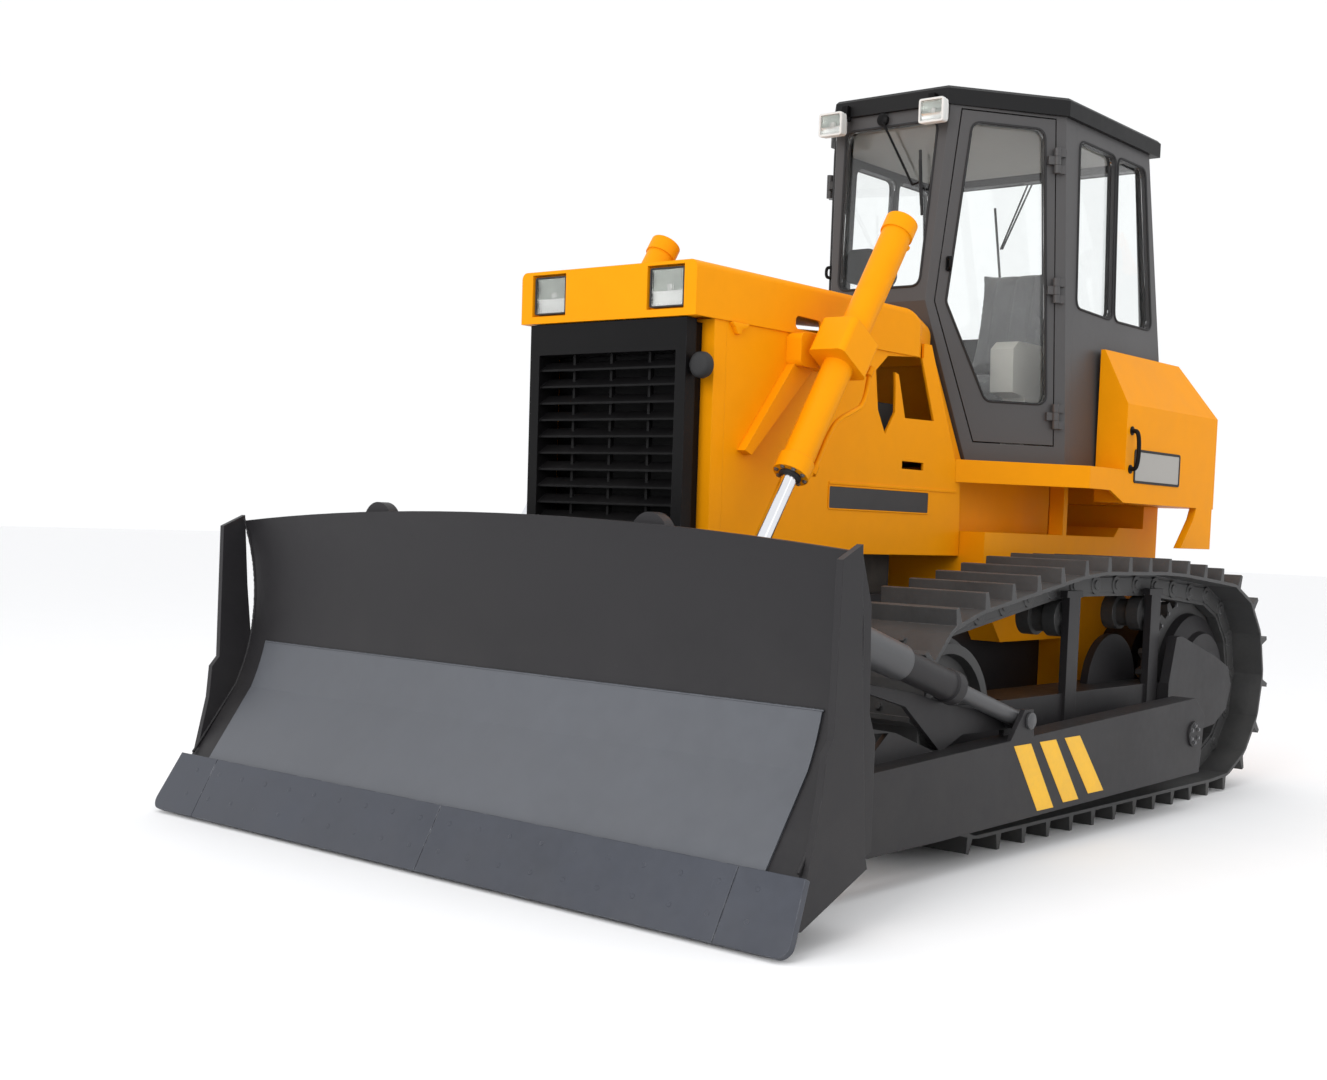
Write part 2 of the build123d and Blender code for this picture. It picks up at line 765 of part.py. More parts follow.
def wall_prism(side, points, mode, round_by=0):
    """Cuts with, or keeps, a prism through the slanting wall; points are along it and up."""
    with BuildSketch(wall_plane(side)) as outline:
        with BuildLine():
            Polyline(*points, close=True)
        make_face()
        if round_by:
            fillet(outline.vertices(), round_by)
    extrude(outline.sketch, amount=160, both=True, mode=mode)


# columns: place along the slanting wall, height
door_high_z = cab_top_z - 18
door_glass_high_z = cab_top_z - 68
door_corners = ((66, door_high_z), (527.4, door_high_z), (592, 1715), (190, 1715), (-28, cab_kink_z))
window_corners = (
    (117, door_glass_high_z), (477, door_glass_high_z), (548, 1905), (240, 1905), (25, cab_kink_z),
)
corner_round = 50


def grown(points, by):
    """The same outline with each side moved out from the middle by a gap."""
    middle = Vector(sum(p[0] for p in points), sum(p[1] for p in points)) / len(points)
    moved = []
    for k, point in enumerate(points):
        here = Vector(*point)
        normals = []
        for other in (Vector(*points[k - 1]), Vector(*points[(k + 1) % len(points)])):
            along = (other - here).normalized()
            normal = Vector(along.Y, -along.X)
            normals.append(normal if (here - middle).dot(normal) > 0 else -normal)
        bisector = normals[0] + normals[1]
        spot = here + bisector * (by / bisector.dot(normals[0]))
        moved.append((spot.X, spot.Y))
    return moved


# columns of each side window's outline: Y, height
cab_window_low = 2365
cab_window_high = cab_top_z - 78
front_window_high = cab_top_z - 65
side_windows = (
    ((735, cab_window_low + 15), (1106, cab_window_low), (1106, cab_window_high), (735, cab_window_high)),
    ((1126, cab_window_low), (1540, cab_window_low), (1425, cab_window_high), (1126, cab_window_high)),
)
rear_window_half = 620
rear_window_from_y = 790
# columns: X, height
front_window = ((-236, 2420), (236, 2420), (266, front_window_high), (-266, front_window_high))
# Door hinges: a pin beside the rear pillar, in two frame knuckles and one door knuckle.
hinge_heights = (1850, 2440, 3040)
hinge_pin = 9
hinge_knuckle = 17
hinge_stand = 20
hinge_half = 58
hinge_inner = 19
leaf_near = 7
leaf_far = 44


def hinge_along(height):
    """Where the hinge line stands along the slanting wall at a height."""
    low, high = door_corners[2], door_corners[1]
    return low[0] + door_gap / 2 + (high[0] - low[0]) * (height - low[1]) / (high[1] - low[1])


def hinge_spot(side, height):
    spot = door_from + door_way * hinge_along(height) + door_out * hinge_stand
    return Vector(side * spot.X, spot.Y, height)


def hinge_bar(side, low, high, radius, mode=Mode.ADD):
    start = hinge_spot(side, low)
    way = hinge_spot(side, high) - start
    with BuildSketch(Plane(origin=start, z_dir=way)) as outline:
        Circle(radius)
    extrude(outline.sketch, amount=way.length, mode=mode)


def hinge_leaf(side, height, low, high, along_from, along_to):
    """A flat leaf on the wall's outer face, beside the hinge line."""
    middle = hinge_along(height)
    with BuildSketch(wall_plane(side)) as outline:
        with Locations((middle + (along_from + along_to) / 2, height + (low + high) / 2)):
            Rectangle(abs(along_to - along_from), high - low)
    extrude(outline.sketch, amount=side * (hinge_stand + 4))


with BuildPart() as cab_shell:
    cab_body(0)
    cab_body(cab_wall, Mode.SUBTRACT)
    for side, name in sides:
        wall_prism(side, grown(door_corners, door_gap), Mode.SUBTRACT)
    for corners in side_windows:
        plate_x(corners, -fender_x, fender_x, Mode.SUBTRACT, corner_round)
    block(
        -rear_window_half, rear_window_half, rear_window_from_y, cab_rear_y + 100,
        cab_window_low, cab_window_high, Mode.SUBTRACT,
    )
    with BuildSketch(Plane.XZ) as front_opening:
        with BuildLine():
            Polyline(*front_window, close=True)
        make_face()
        fillet(front_opening.vertices(), corner_round)
    extrude(amount=-300, mode=Mode.SUBTRACT)
    for side, name in sides:
        for height in hinge_heights:
            for low, high in ((-hinge_half, -hinge_inner - 1), (hinge_inner + 1, hinge_half)):
                hinge_leaf(side, height, low, high, leaf_near, leaf_far)
                hinge_bar(side, height + low, height + high, hinge_knuckle)
            hinge_bar(side, height - hinge_half, height + hinge_half, hinge_pin)

# The frame's front, with the door posts, and its rear, with the side and rear windows.
cab_split_y = 700
for label, y_from, y_to in (("cab_front", 0, cab_split_y), ("cab_rear", cab_split_y, cab_rear_y + 1)):
    with BuildPart() as cab_half:
        add(cab_shell.part)
        block(-fender_x, fender_x, y_from, y_to, floor_z - 1, cab_top_z + 1, Mode.INTERSECT)
    keep(cab_half, label)

pane_in = cab_wall / 2
with BuildPart() as cab_windows:
    cab_body(pane_in)
    cab_body(pane_in + glass, Mode.SUBTRACT)
    for side, name in sides:
        wall_prism(side, grown(door_corners, door_gap), Mode.SUBTRACT)
    add(cab_shell.part, mode=Mode.SUBTRACT)
keep(cab_windows, "cab_windows")

for side, name in sides:
    with BuildPart() as door:
        cab_body(0)
        cab_body(cab_wall, Mode.SUBTRACT)
        wall_prism(side, door_corners, Mode.INTERSECT)
        wall_prism(side, window_corners, Mode.SUBTRACT, corner_round)
        for height in hinge_heights:
            hinge_leaf(side, height, -hinge_inner, hinge_inner, -leaf_far, -leaf_near)
            hinge_bar(side, height - hinge_inner, height + hinge_inner, hinge_knuckle)
            hinge_bar(side, height - hinge_inner - 1, height + hinge_inner + 1, hinge_pin + running_fit, Mode.SUBTRACT)
    keep(door, f"door_{name}")
    with BuildPart() as door_glass:
        cab_body(pane_in)
        cab_body(pane_in + glass, Mode.SUBTRACT)
        wall_prism(side, window_corners, Mode.INTERSECT, corner_round)
    keep(door_glass, f"door_glass_{name}")

roof_half = ((323, 125), (705, 590), (705, 1545))
roof_edge = 14
with BuildPart() as cab_roof:
    plate_z(both_halves(roof_half), cab_top_z, roof_top_z)
    chamfer(cab_roof.faces().sort_by(Axis.Z)[-1].edges(), roof_edge)
keep(cab_roof, "cab_roof")

work_lamp_x = 290
work_lamp_half = 70
work_lamp_low_z = cab_top_z - 102
work_lamp_high_z = cab_top_z + 12
work_lamp_front_y = 38
lamp_arm_x = 250
lamp_arm_half = 20
roof_front_y = roof_half[0][1]
with BuildPart() as work_lamps:
    for side, name in sides:
        x = side * work_lamp_x
        block(
            x - work_lamp_half, x + work_lamp_half, work_lamp_front_y, roof_front_y - 7,
            work_lamp_low_z, work_lamp_high_z,
        )
        x = side * lamp_arm_x
        block(
            x - lamp_arm_half, x + lamp_arm_half, roof_front_y - 30, roof_front_y,
            work_lamp_high_z - 20, roof_top_z - 30,
        )
keep(work_lamps, "work_lamps")

# Inside the cab
# The dash stands at the driver's right: a pod with a sunk face, on a pedestal.
dash_out_x = -330
dash_in_x = -135
dash_low_z = 2480
dash_top_z = 2645
dash_front_y = 250
dash_rear_y = 430
dash_round = 55
dash_rim = 16
dash_sink = 20
dash_leg_in = 50
dash_leg = ((330, floor_z), (430, floor_z), (400, dash_low_z + 20), (300, dash_low_z + 20))
with BuildPart() as dash_console:
    plate_x(dash_leg, dash_out_x + dash_leg_in, dash_in_x - dash_leg_in)
    with BuildSketch(Plane.XZ.offset(-dash_rear_y)) as pod:
        with Locations(((dash_out_x + dash_in_x) / 2, (dash_low_z + dash_top_z) / 2)):
            Rectangle(dash_in_x - dash_out_x, dash_top_z - dash_low_z)
        fillet(pod.vertices(), dash_round)
    extrude(pod.sketch, amount=dash_rear_y - dash_front_y)
    extrude(offset(pod.sketch, -dash_rim), amount=dash_sink, mode=Mode.SUBTRACT)
keep(dash_console, "dash_console")

seat_base_half = 200
seat_half = 260
cushion_low_z = 1960
cushion_high_z = 2090
seat_base = ((880, floor_z), (1240, floor_z), (1240, cushion_low_z), (880, cushion_low_z))
cushion = ((820, cushion_low_z), (1320, cushion_low_z), (1320, cushion_high_z), (820, cushion_high_z))
backrest = ((1220, cushion_high_z - 1), (1320, cushion_high_z - 1), (1430, 2705), (1340, 2715))
with BuildPart() as seat:
    plate_x(seat_base, -seat_base_half, seat_base_half)
    plate_x(cushion, -seat_half, seat_half)
    plate_x(backrest, -seat_half + 10, seat_half - 10)
keep(seat, "seat")

console_in_x = 300
console_out_x = 430
console_top_z = 2225
console_outline = (
    (760, floor_z), (760, 1960), (640, 1975), (630, console_top_z - 40), (680, console_top_z),
    (1150, console_top_z), (1250, console_top_z - 55), (1250, floor_z),
)
lever_x = (console_in_x + console_out_x) / 2
lever_radius = 12
# columns: foot Y, top Y, top height; the levers stand on the driver's right console
levers = ((760, 715, 2420), (860, 845, 2370))
with BuildPart() as control_levers:
    for side, name in sides:
        plate_x(console_outline, side * console_in_x, side * console_out_x)
    for foot_y, top_y, lever_top_z in levers:
        bar_yz(-lever_x, (foot_y, console_top_z - 1), (top_y, lever_top_z), lever_radius)
keep(control_levers, "control_levers")

# ---------------------------------------------------------------- blade
# The cutting edge leans back by a named angle; the mouldboard's face starts behind it.
edge_lean = radians(28)
edge_thick = 25
edge_tall = 250
edge_way = Vector(sin(edge_lean), cos(edge_lean))
edge_foot = Vector(front_y + edge_thick * cos(edge_lean), edge_drop_z)
face_foot = edge_foot + edge_way * 25
face_low = edge_foot + edge_way * edge_tall
crown = 75
face_top_z = 1215
plate_half = blade_half - 25


def behind(points):
    """Turns (distance behind the blade's front, height) into Y and Z."""
    return [(front_y + back, height) for back, height in points]


# columns of these outlines: distance behind the blade's front, height
face_knee, face_deep, face_top = behind(((335, 520), (420, 850), (335, face_top_z + crown)))
blade_back = behind(((375, face_top_z + crown), (460, 1050), (475, 700), (510, 620), (510, 260), (240, 150)))
side_plate = behind((
    (270, 1190), (370, 1238), (385, 943), (445, 262), (458, 215), (130, 70), (82, 76), (158, 250),
    (210, 470), (223, 600), (256, 640), (264, 950),
))
rib = behind(((458, 1060), (492, 1040), (510, 640), (474, 640)))
rib_xs = (420, 1040)
rib_half = 12
lug_gap = 40
lug_thick = 25
eye_lug = (
    (blade_back_y - 1, eye_z - 150), (blade_back_y - 1, eye_z + 19), (eye_y + 30, eye_z + 60),
    (eye_y + 60, eye_z - 40), (eye_y - 40, eye_z - 150),
)
pin_head = 48
ear_half = 32
# Half-round lifting lugs stand up behind the top edge.
hump_x = 730
hump_radius = 88
hump_z = 1226
hump_foot_z = 1205
hump_front_y = blade_back_y - 135
hump_thick = 45
liner_thick = 10
liner_half = blade_half - 150
liner_top_z = 705
with BuildPart() as moldboard:
    with BuildSketch(Plane.YZ.offset(-plate_half)) as section:
        with BuildLine():
            Polyline((face_foot.X, face_foot.Y), (face_low.X, face_low.Y), face_knee)
            ThreePointArc(face_knee, face_deep, face_top)
            Polyline(face_top, *blade_back, (face_foot.X, face_foot.Y))
        make_face()
    extrude(section.sketch, amount=2 * plate_half)
    with BuildSketch(Plane.XZ) as over:
        with BuildLine():
            ThreePointArc((-blade_half, face_top_z - 3), (0, face_top_z + crown), (blade_half, face_top_z - 3))
            Polyline(
                (blade_half, face_top_z - 3), (blade_half, face_top_z + 300),
                (-blade_half, face_top_z + 300), (-blade_half, face_top_z - 3),
            )
        make_face()
    extrude(over.sketch, amount=overall_length, mode=Mode.SUBTRACT)
    for side, name in sides:
        plate_x(side_plate, side * plate_half, side * blade_half)
        for x in rib_xs:
            plate_x(rib, side * (x - rib_half), side * (x + rib_half))
        for face in (-1, 1):
            x_lug = side * lift_x + face * lug_gap
            plate_x(eye_lug, x_lug, x_lug + face * lug_thick)
            disc_x(eye_y, eye_z, pin_head, x_lug + face * (lug_thick - 1), x_lug + face * (lug_thick + 15))
        with BuildSketch(Plane.XZ.offset(-hump_front_y)) as hump:
            with Locations((side * hump_x, hump_z)):
                Circle(hump_radius)
            with Locations((side * hump_x, hump_foot_z - hump_radius)):
                Rectangle(2 * hump_radius, 2 * hump_radius, mode=Mode.SUBTRACT)
        extrude(hump.sketch, amount=-hump_thick)
        ear_x = (side * (arm_mid_x - ear_half), side * (arm_mid_x + ear_half))
        block(*ear_x, blade_back_y - 52, blade_back_y + 12, 950, 1060)
keep(moldboard, "moldboard")

# A wear liner on the mouldboard's lower face: the face moved ahead, less the board itself.
def ahead(point):
    return (point[0] - liner_thick, point[1])


liner_foot = (face_low.X + 4, face_low.Y + 6)
liner_back = 100
with BuildPart() as blade_liner:
    with BuildSketch(Plane.YZ.offset(-liner_half)) as liner_section:
        with BuildLine():
            Polyline(liner_foot, ahead(liner_foot), ahead(face_knee))
            ThreePointArc(ahead(face_knee), ahead(face_deep), ahead(face_top))
            Polyline(
                ahead(face_top), (face_top[0] + liner_back, face_top[1]),
                (face_knee[0] + liner_back, face_knee[1]), liner_foot,
            )
        make_face()
    extrude(liner_section.sketch, amount=2 * liner_half)
    block(-liner_half, liner_half, front_y, face_top[0] + 2 * liner_back, liner_top_z, face_top[1] + 1, Mode.SUBTRACT)
    add(moldboard.part, mode=Mode.SUBTRACT)
keep(blade_liner, "blade_liner")

edge_seams = (-1400, 0, 1400)
seam_half = 2.5
seam_depth = 4
edge_plane = Plane(origin=(0, edge_foot.X, edge_foot.Y), x_dir=(1, 0, 0), z_dir=(0, -edge_way.Y, edge_way.X))
with BuildPart() as cutting_edge:
    with BuildSketch(edge_plane) as edge_face:
        with BuildLine():
            Polyline(*both_halves(((edge_half - 34, edge_tall), (edge_half, 0))), close=True)
        make_face()
        fillet(edge_face.vertices().group_by(Axis.Y)[0], 45)
    extrude(edge_face.sketch, amount=edge_thick)
    with BuildSketch(edge_plane.offset(edge_thick)) as seams:
        for x in edge_seams:
            with Locations((x, edge_tall / 2)):
                Rectangle(2 * seam_half, edge_tall)
    extrude(seams.sketch, amount=-seam_depth, mode=Mode.SUBTRACT)
keep(cutting_edge, "cutting_edge")

# Push arms, each with two gussets behind the blade and a fork for the brace.
brace_front = (blade_back_y + 35, 993)
brace_rear = (-600, 545)
arm_outline = (
    (blade_back_y, 139), (-1237, 139), (1040, 178), (1072, 452), (960, 540), (-1202, 457),
    (-1658, 438), (blade_back_y, 438),
)
low_gusset = ((blade_back_y, 436), (blade_back_y, 592), (-1605, 585), (-1398, 548), (-1057, 429))
low_hole = ((-1760, 566), (-1443, 551), (-1583, 448), (-1740, 448))
high_gusset = (
    (-1604, 710), (-1604, 740), (-1295, 690), (-1050, 630), (-696, 575), (-640, 592), (-575, 590), (-560, 455),
    (-637, 455), (-637, 502), (-943, 506), (-1094, 450), (-1342, 640),
)
rear_fork = ((-760, 455), (-560, 460), (-575, 590), (-640, 592))
gusset_thick = 22
with BuildPart() as push_arms:
    for side, name in sides:
        plate_x(arm_outline, side * arm_in_x, side * arm_out_x)
        bore_x = (side * (arm_in_x - 5), side * (arm_out_x + 5))
        disc_x(pivot_y, pivot_z, pivot_radius + running_fit, *bore_x, Mode.SUBTRACT)
        plate_x(low_gusset, side * arm_in_x, side * (arm_in_x + gusset_thick))
        plate_x(low_hole, side * arm_in_x, side * (arm_in_x + gusset_thick), Mode.SUBTRACT)
        plate_x(high_gusset, side * arm_in_x, side * (arm_in_x + gusset_thick))
        plate_x(rear_fork, side * (arm_out_x - gusset_thick), side * arm_out_x)
keep(push_arms, "push_arms")

brace_radius = 56
brace_collar = 68
brace_rod = 34
brace_eye = 40
rod_shown = 510
collar_shown = 600
with BuildPart() as braces:
    way = Vector(brace_rear[0] - brace_front[0], brace_rear[1] - brace_front[1]).normalized()
    barrel_end = (brace_rear[0] - way.X * rod_shown, brace_rear[1] - way.Y * rod_shown)
    collar_end = (brace_front[0] + way.X * collar_shown, brace_front[1] + way.Y * collar_shown)
    for side, name in sides:
        bar_yz(side * arm_mid_x, brace_front, collar_end, brace_collar)
        bar_yz(side * arm_mid_x, brace_front, barrel_end, brace_radius)
        bar_yz(side * arm_mid_x, brace_front, brace_rear, brace_rod)
        disc_x(*brace_rear, brace_eye, side * (arm_mid_x - 38), side * (arm_mid_x + 38))
keep(braces, "braces")

# ---------------------------------------------------------------- lift cylinders
lift_way = Vector(eye_y - lift_y, eye_z - lift_z).normalized()
lift_side = Vector(lift_way.Y, -lift_way.X)


def along_lift(distance, aside=0):
    """A point beside the cylinder's line, this far from its pivot towards the blade."""
    spot = Vector(lift_y, lift_z) + lift_way * distance + lift_side * aside
    return (spot.X, spot.Y)


head_reach = -663
gland_reach = 598
head_wall = 12
gland_long = 20
piston_long = 22
rod_length = 1474
eye_reach = hypot(eye_y - lift_y, eye_z - lift_z)
rod_back = eye_reach - rod_length
bearing_in = 475
bearing_out = 540
bearing = ((lift_y - 130, 1915), (lift_y - 130, hood_low_z), (lift_y + 110, hood_low_z), (lift_y + 110, 1915))
strut = ((-1150, 1930), (-1020, 1925), (-1397, 1551), (-1440, 1567))
trunnion_radius = 40
with BuildPart() as cylinder_yokes:
    for side, name in sides:
        plate_x(bearing, side * panel_half, side * bearing_out, Mode.ADD, 28)
        plate_x(strut, side * panel_half, side * (bearing_in + 30))
        disc_x(lift_y, lift_z, trunnion_radius + running_fit, side * bearing_in, side * (bearing_out + 5), Mode.SUBTRACT)
keep(cylinder_yokes, "cylinder_yokes")

bore_radius = rod_radius + 12
block_half = 87
block_front = 112
block_back = 88
block_long = 80
block_round = 26
cap_long = 70
eye_disc = 62
eye_half = 35
pipe_radius = 12
pipe_aside = -(barrel_radius + 16)
pipe_from = -600
pipe_to = -130
for side, name in sides:
    x = side * lift_x
    with BuildPart() as lift_barrel:
        bar_yz(x, along_lift(head_reach), along_lift(gland_reach), barrel_radius)
        bar_yz(x, along_lift(head_reach), along_lift(head_reach + cap_long), barrel_radius + 7)
        bar_yz(x, along_lift(gland_reach - cap_long), along_lift(gland_reach), barrel_radius + 10)
        across = Plane(origin=(x, lift_y, lift_z), x_dir=(1, 0, 0), z_dir=(0, lift_way.X, lift_way.Y))
        with BuildSketch(across) as clamp:
            with Locations((0, (block_front - block_back) / 2)):
                Rectangle(2 * block_half, block_front + block_back)
            fillet(clamp.vertices(), block_round)
        extrude(clamp.sketch, amount=block_long, both=True)
        disc_x(lift_y, lift_z, trunnion_radius, side * (bearing_in + 5), x)
        disc_x(lift_y, lift_z, trunnion_radius + 15, side * (bearing_out + 8), x)
        bar_yz(x, along_lift(pipe_from, pipe_aside), along_lift(pipe_to, pipe_aside), pipe_radius)
        for reach in (pipe_from, pipe_to):
            bar_yz(x, along_lift(reach, pipe_aside * 0.7), along_lift(reach, pipe_aside - pipe_radius), pipe_radius + 3)
        bar_yz(x, along_lift(head_reach + head_wall), along_lift(gland_reach - gland_long), bore_radius, Mode.SUBTRACT)
        bar_yz(x, along_lift(head_reach + head_wall), along_lift(gland_reach + 1), rod_radius + running_fit, Mode.SUBTRACT)
    keep(lift_barrel, f"lift_barrel_{name}")
    with BuildPart() as lift_rod:
        bar_yz(x, along_lift(rod_back), along_lift(eye_reach), rod_radius)
        bar_yz(x, along_lift(rod_back), along_lift(rod_back + piston_long), bore_radius - 1)
        disc_x(eye_y, eye_z, eye_disc, x - eye_half, x + eye_half)
    keep(lift_rod, f"lift_rod_{name}")
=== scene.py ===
import math

import bmesh
import bpy
from mathutils import Matrix, Vector


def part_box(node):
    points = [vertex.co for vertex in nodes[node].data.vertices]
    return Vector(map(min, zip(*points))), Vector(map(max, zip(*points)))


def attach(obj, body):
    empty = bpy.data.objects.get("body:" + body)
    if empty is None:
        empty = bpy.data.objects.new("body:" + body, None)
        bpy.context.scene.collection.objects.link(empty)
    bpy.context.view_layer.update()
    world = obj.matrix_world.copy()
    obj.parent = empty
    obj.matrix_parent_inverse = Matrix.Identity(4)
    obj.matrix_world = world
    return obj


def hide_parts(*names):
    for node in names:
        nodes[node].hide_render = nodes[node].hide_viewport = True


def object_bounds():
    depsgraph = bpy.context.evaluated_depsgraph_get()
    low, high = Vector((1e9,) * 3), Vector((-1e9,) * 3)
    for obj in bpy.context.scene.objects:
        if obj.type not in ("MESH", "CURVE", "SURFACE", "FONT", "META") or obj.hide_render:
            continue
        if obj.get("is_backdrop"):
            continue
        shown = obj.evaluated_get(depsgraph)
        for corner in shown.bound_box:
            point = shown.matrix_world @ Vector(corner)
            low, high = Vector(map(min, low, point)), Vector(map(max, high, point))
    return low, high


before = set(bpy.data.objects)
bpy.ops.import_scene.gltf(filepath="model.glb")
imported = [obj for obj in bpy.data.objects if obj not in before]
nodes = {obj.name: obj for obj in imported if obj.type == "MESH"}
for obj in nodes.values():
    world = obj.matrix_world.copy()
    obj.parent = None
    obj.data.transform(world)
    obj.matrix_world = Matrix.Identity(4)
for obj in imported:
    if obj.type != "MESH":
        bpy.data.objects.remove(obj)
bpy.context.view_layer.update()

scene = bpy.context.scene
sides = ((1, "Left"), (-1, "Right"))
print("frame loaded:", len(nodes), "CAD nodes")

# Camera, lights and floor
view = {
    "place": (4.5908, -6.2496, 1.2901),
    "turn": (85.791, -2.271, 36.585),  # degrees
    "lens": 44.22,
    "shift": (-0.1404, 0.0804),
}
studio = {
    "sky": (0.985, 0.99, 1.0),
    "skyStrength": 1.02,
    "lamps": (  # place, aimed at, size in metres, watts
        ((2.0, -9.5, 5.0), (0.0, -1.5, 1.4), 5.0, 330),
        ((9.0, -3.0, 4.5), (0.3, 0.6, 1.2), 5.0, 30),
        ((0.5, 1.0, 9.0), (0.0, 0.0, 0.0), 7.0, 130),
    ),
    "floorReach": 60.0,
}


def linkObject(name, data):
    made = bpy.data.objects.new(name, data)
    scene.collection.objects.link(made)
    return made


def makeCamera():
    data = bpy.data.cameras.new("camera")
    data.lens = view["lens"]
    data.shift_x, data.shift_y = view["shift"]
    data.clip_end = 200
    camera = linkObject("camera", data)
    camera.location = view["place"]
    camera.rotation_euler = [math.radians(angle) for angle in view["turn"]]
    scene.camera = camera


def makeLamps():
    world = bpy.data.worlds.new("studioSky")
    world.use_nodes = True
    world.node_tree.nodes["Background"].inputs["Color"].default_value = (*studio["sky"], 1)
    world.node_tree.nodes["Background"].inputs["Strength"].default_value = studio["skyStrength"]
    scene.world = world
    for number, (place, aim, size, watts) in enumerate(studio["lamps"]):
        data = bpy.data.lights.new(f"softLamp{number}", "AREA")
        data.shape, data.size, data.energy = "SQUARE", size, watts
        lamp = linkObject(data.name, data)
        lamp.location = place
        lamp.rotation_euler = (Vector(aim) - Vector(place)).to_track_quat("-Z", "Y").to_euler()


makeCamera()
makeLamps()
scene.view_settings.view_transform = "Standard"
print("camera and lamps ready")


# Shader groups shared by the finishes
def newTree(name, kind, inputs, outputs):
    tree = bpy.data.node_groups.new(name, kind)
    for label, socket, value in inputs:
        made = tree.interface.new_socket(label, in_out="INPUT", socket_type="NodeSocket" + socket)
        if value is not None:
            made.default_value = value
    for label, socket in outputs:
        tree.interface.new_socket(label, in_out="OUTPUT", socket_type="NodeSocket" + socket)
    return tree, tree.nodes.new("NodeGroupInput").outputs, tree.nodes.new("NodeGroupOutput").inputs


def shaderTree(name, inputs, outputs):
    return newTree(name, "ShaderNodeTree", (("Vector", "Vector", None), *inputs), outputs)


def fillInputs(tree, node, inputs):
    for key, value in inputs.items():
        if isinstance(value, bpy.types.NodeSocket):
            tree.links.new(value, node.inputs[key])
        else:
            node.inputs[key].default_value = value


def addNode(tree, kind, inputs=None, **settings):
    made = tree.nodes.new(kind)
    for key, value in settings.items():
        setattr(made, key, value)
    fillInputs(tree, made, inputs or {})
    return made


def combine(tree, **parts):
    return addNode(tree, "ShaderNodeCombineXYZ", parts).outputs[0]


def addMath(tree, operation, *values):
    return addNode(tree, "ShaderNodeMath", dict(enumerate(values)), operation=operation).outputs[0]


def product(tree, first, second):
    return addMath(tree, "MULTIPLY", first, second)


def productPlus(tree, first, second, added):
    return addMath(tree, "MULTIPLY_ADD", first, second, added)


def addNoise(tree, vector, scale, detail=3.0, roughness=0.5):
    settings = {"Vector": vector, "Scale": scale, "Detail": detail, "Roughness": roughness}
    return addNode(tree, "ShaderNodeTexNoise", settings).outputs["Fac"]


def remap(tree, value, low, high, newLow=0.0, newHigh=1.0):
    settings = {"Value": value, "From Min": low, "From Max": high, "To Min": newLow, "To Max": newHigh}
    return addNode(tree, "ShaderNodeMapRange", settings).outputs["Result"]


def mottleGroup():
    tree, put, out = shaderTree("mottle", (
        ("Colour", "Color", None), ("Amount", "Float", 0.1), ("Scale", "Float", 3.0),
    ), (("Colour", "Color"), ("Value", "Float")))
    broad = addNoise(tree, put["Vector"], put["Scale"], 4.0, 0.6)
    fine = addNoise(tree, put["Vector"], product(tree, put["Scale"], 9.0), 3.0, 0.6)
    mixed = productPlus(tree, fine, 0.35, product(tree, broad, 0.65))
    value = remap(tree, mixed, 0.35, 0.65)
    shade = productPlus(tree, addMath(tree, "SUBTRACT", value, 0.5), put["Amount"], 1.0)
    colour = addNode(tree, "ShaderNodeHueSaturation", {"Color": put["Colour"], "Value": shade})
    tree.links.new(colour.outputs["Color"], out["Colour"])
    tree.links.new(value, out["Value"])
    return tree


def edgeWearAndHighlightGroup():
    tree, put, out = shaderTree("edgeWearAndHighlight", (
        ("Radius", "Float", 0.004), ("Amount", "Float", 0.5), ("Scale", "Float", 12.0),
    ), (("Mask", "Float"), ("Normal", "Vector")))
    rounded = addNode(tree, "ShaderNodeBevel", {"Radius": put["Radius"]}, samples=6).outputs["Normal"]
    flat = addNode(tree, "ShaderNodeNewGeometry").outputs["Normal"]
    alike = addNode(tree, "ShaderNodeVectorMath", {0: rounded, 1: flat}, operation="DOT_PRODUCT")
    edge = remap(tree, alike.outputs["Value"], 0.97, 0.80)
    patches = remap(tree, addNoise(tree, put["Vector"], put["Scale"], 5.0, 0.7), 0.48, 0.62)
    worn = product(tree, product(tree, edge, patches), put["Amount"])
    tree.links.new(worn, out["Mask"])
    tree.links.new(rounded, out["Normal"])
    return tree


def dustGroup():
    tree, put, out = shaderTree("dust", (
        ("Height", "Float", 1.2), ("Amount", "Float", 0.3), ("Scale", "Float", 4.0),
    ), (("Mask", "Float"),))
    up = addNode(tree, "ShaderNodeSeparateXYZ", {0: addNode(tree, "ShaderNodeNewGeometry").outputs["Normal"]})
    place = addNode(tree, "ShaderNodeSeparateXYZ", {0: put["Vector"]})
    low = addMath(tree, "SUBTRACT", 1.0, addMath(tree, "DIVIDE", place.outputs["Z"], put["Height"]))
    lying = remap(tree, up.outputs["Z"], 0.3, 1.0, 0.0, 0.35)
    above = addMath(tree, "MAXIMUM", low, 0.0)
    reach = addNode(tree, "ShaderNodeMath", {0: above, 1: lying}, operation="ADD", use_clamp=True)
    cloud = remap(tree, addNoise(tree, put["Vector"], put["Scale"], 6.0, 0.65), 0.36, 0.7)
    soft = product(tree, product(tree, reach.outputs[0], cloud), put["Amount"])
    tree.links.new(soft, out["Mask"])
    return tree


def grainGroup():
    tree, put, out = shaderTree("grain", (
        ("Scale", "Float", 200.0), ("Coarse", "Float", 0.3),
    ), (("Height", "Float"),))
    fine = addNoise(tree, put["Vector"], put["Scale"], 2.0)
    coarse = addNoise(tree, put["Vector"], product(tree, put["Scale"], 0.12), 4.0)
    height = productPlus(tree, coarse, put["Coarse"], fine)
    tree.links.new(height, out["Height"])
    return tree


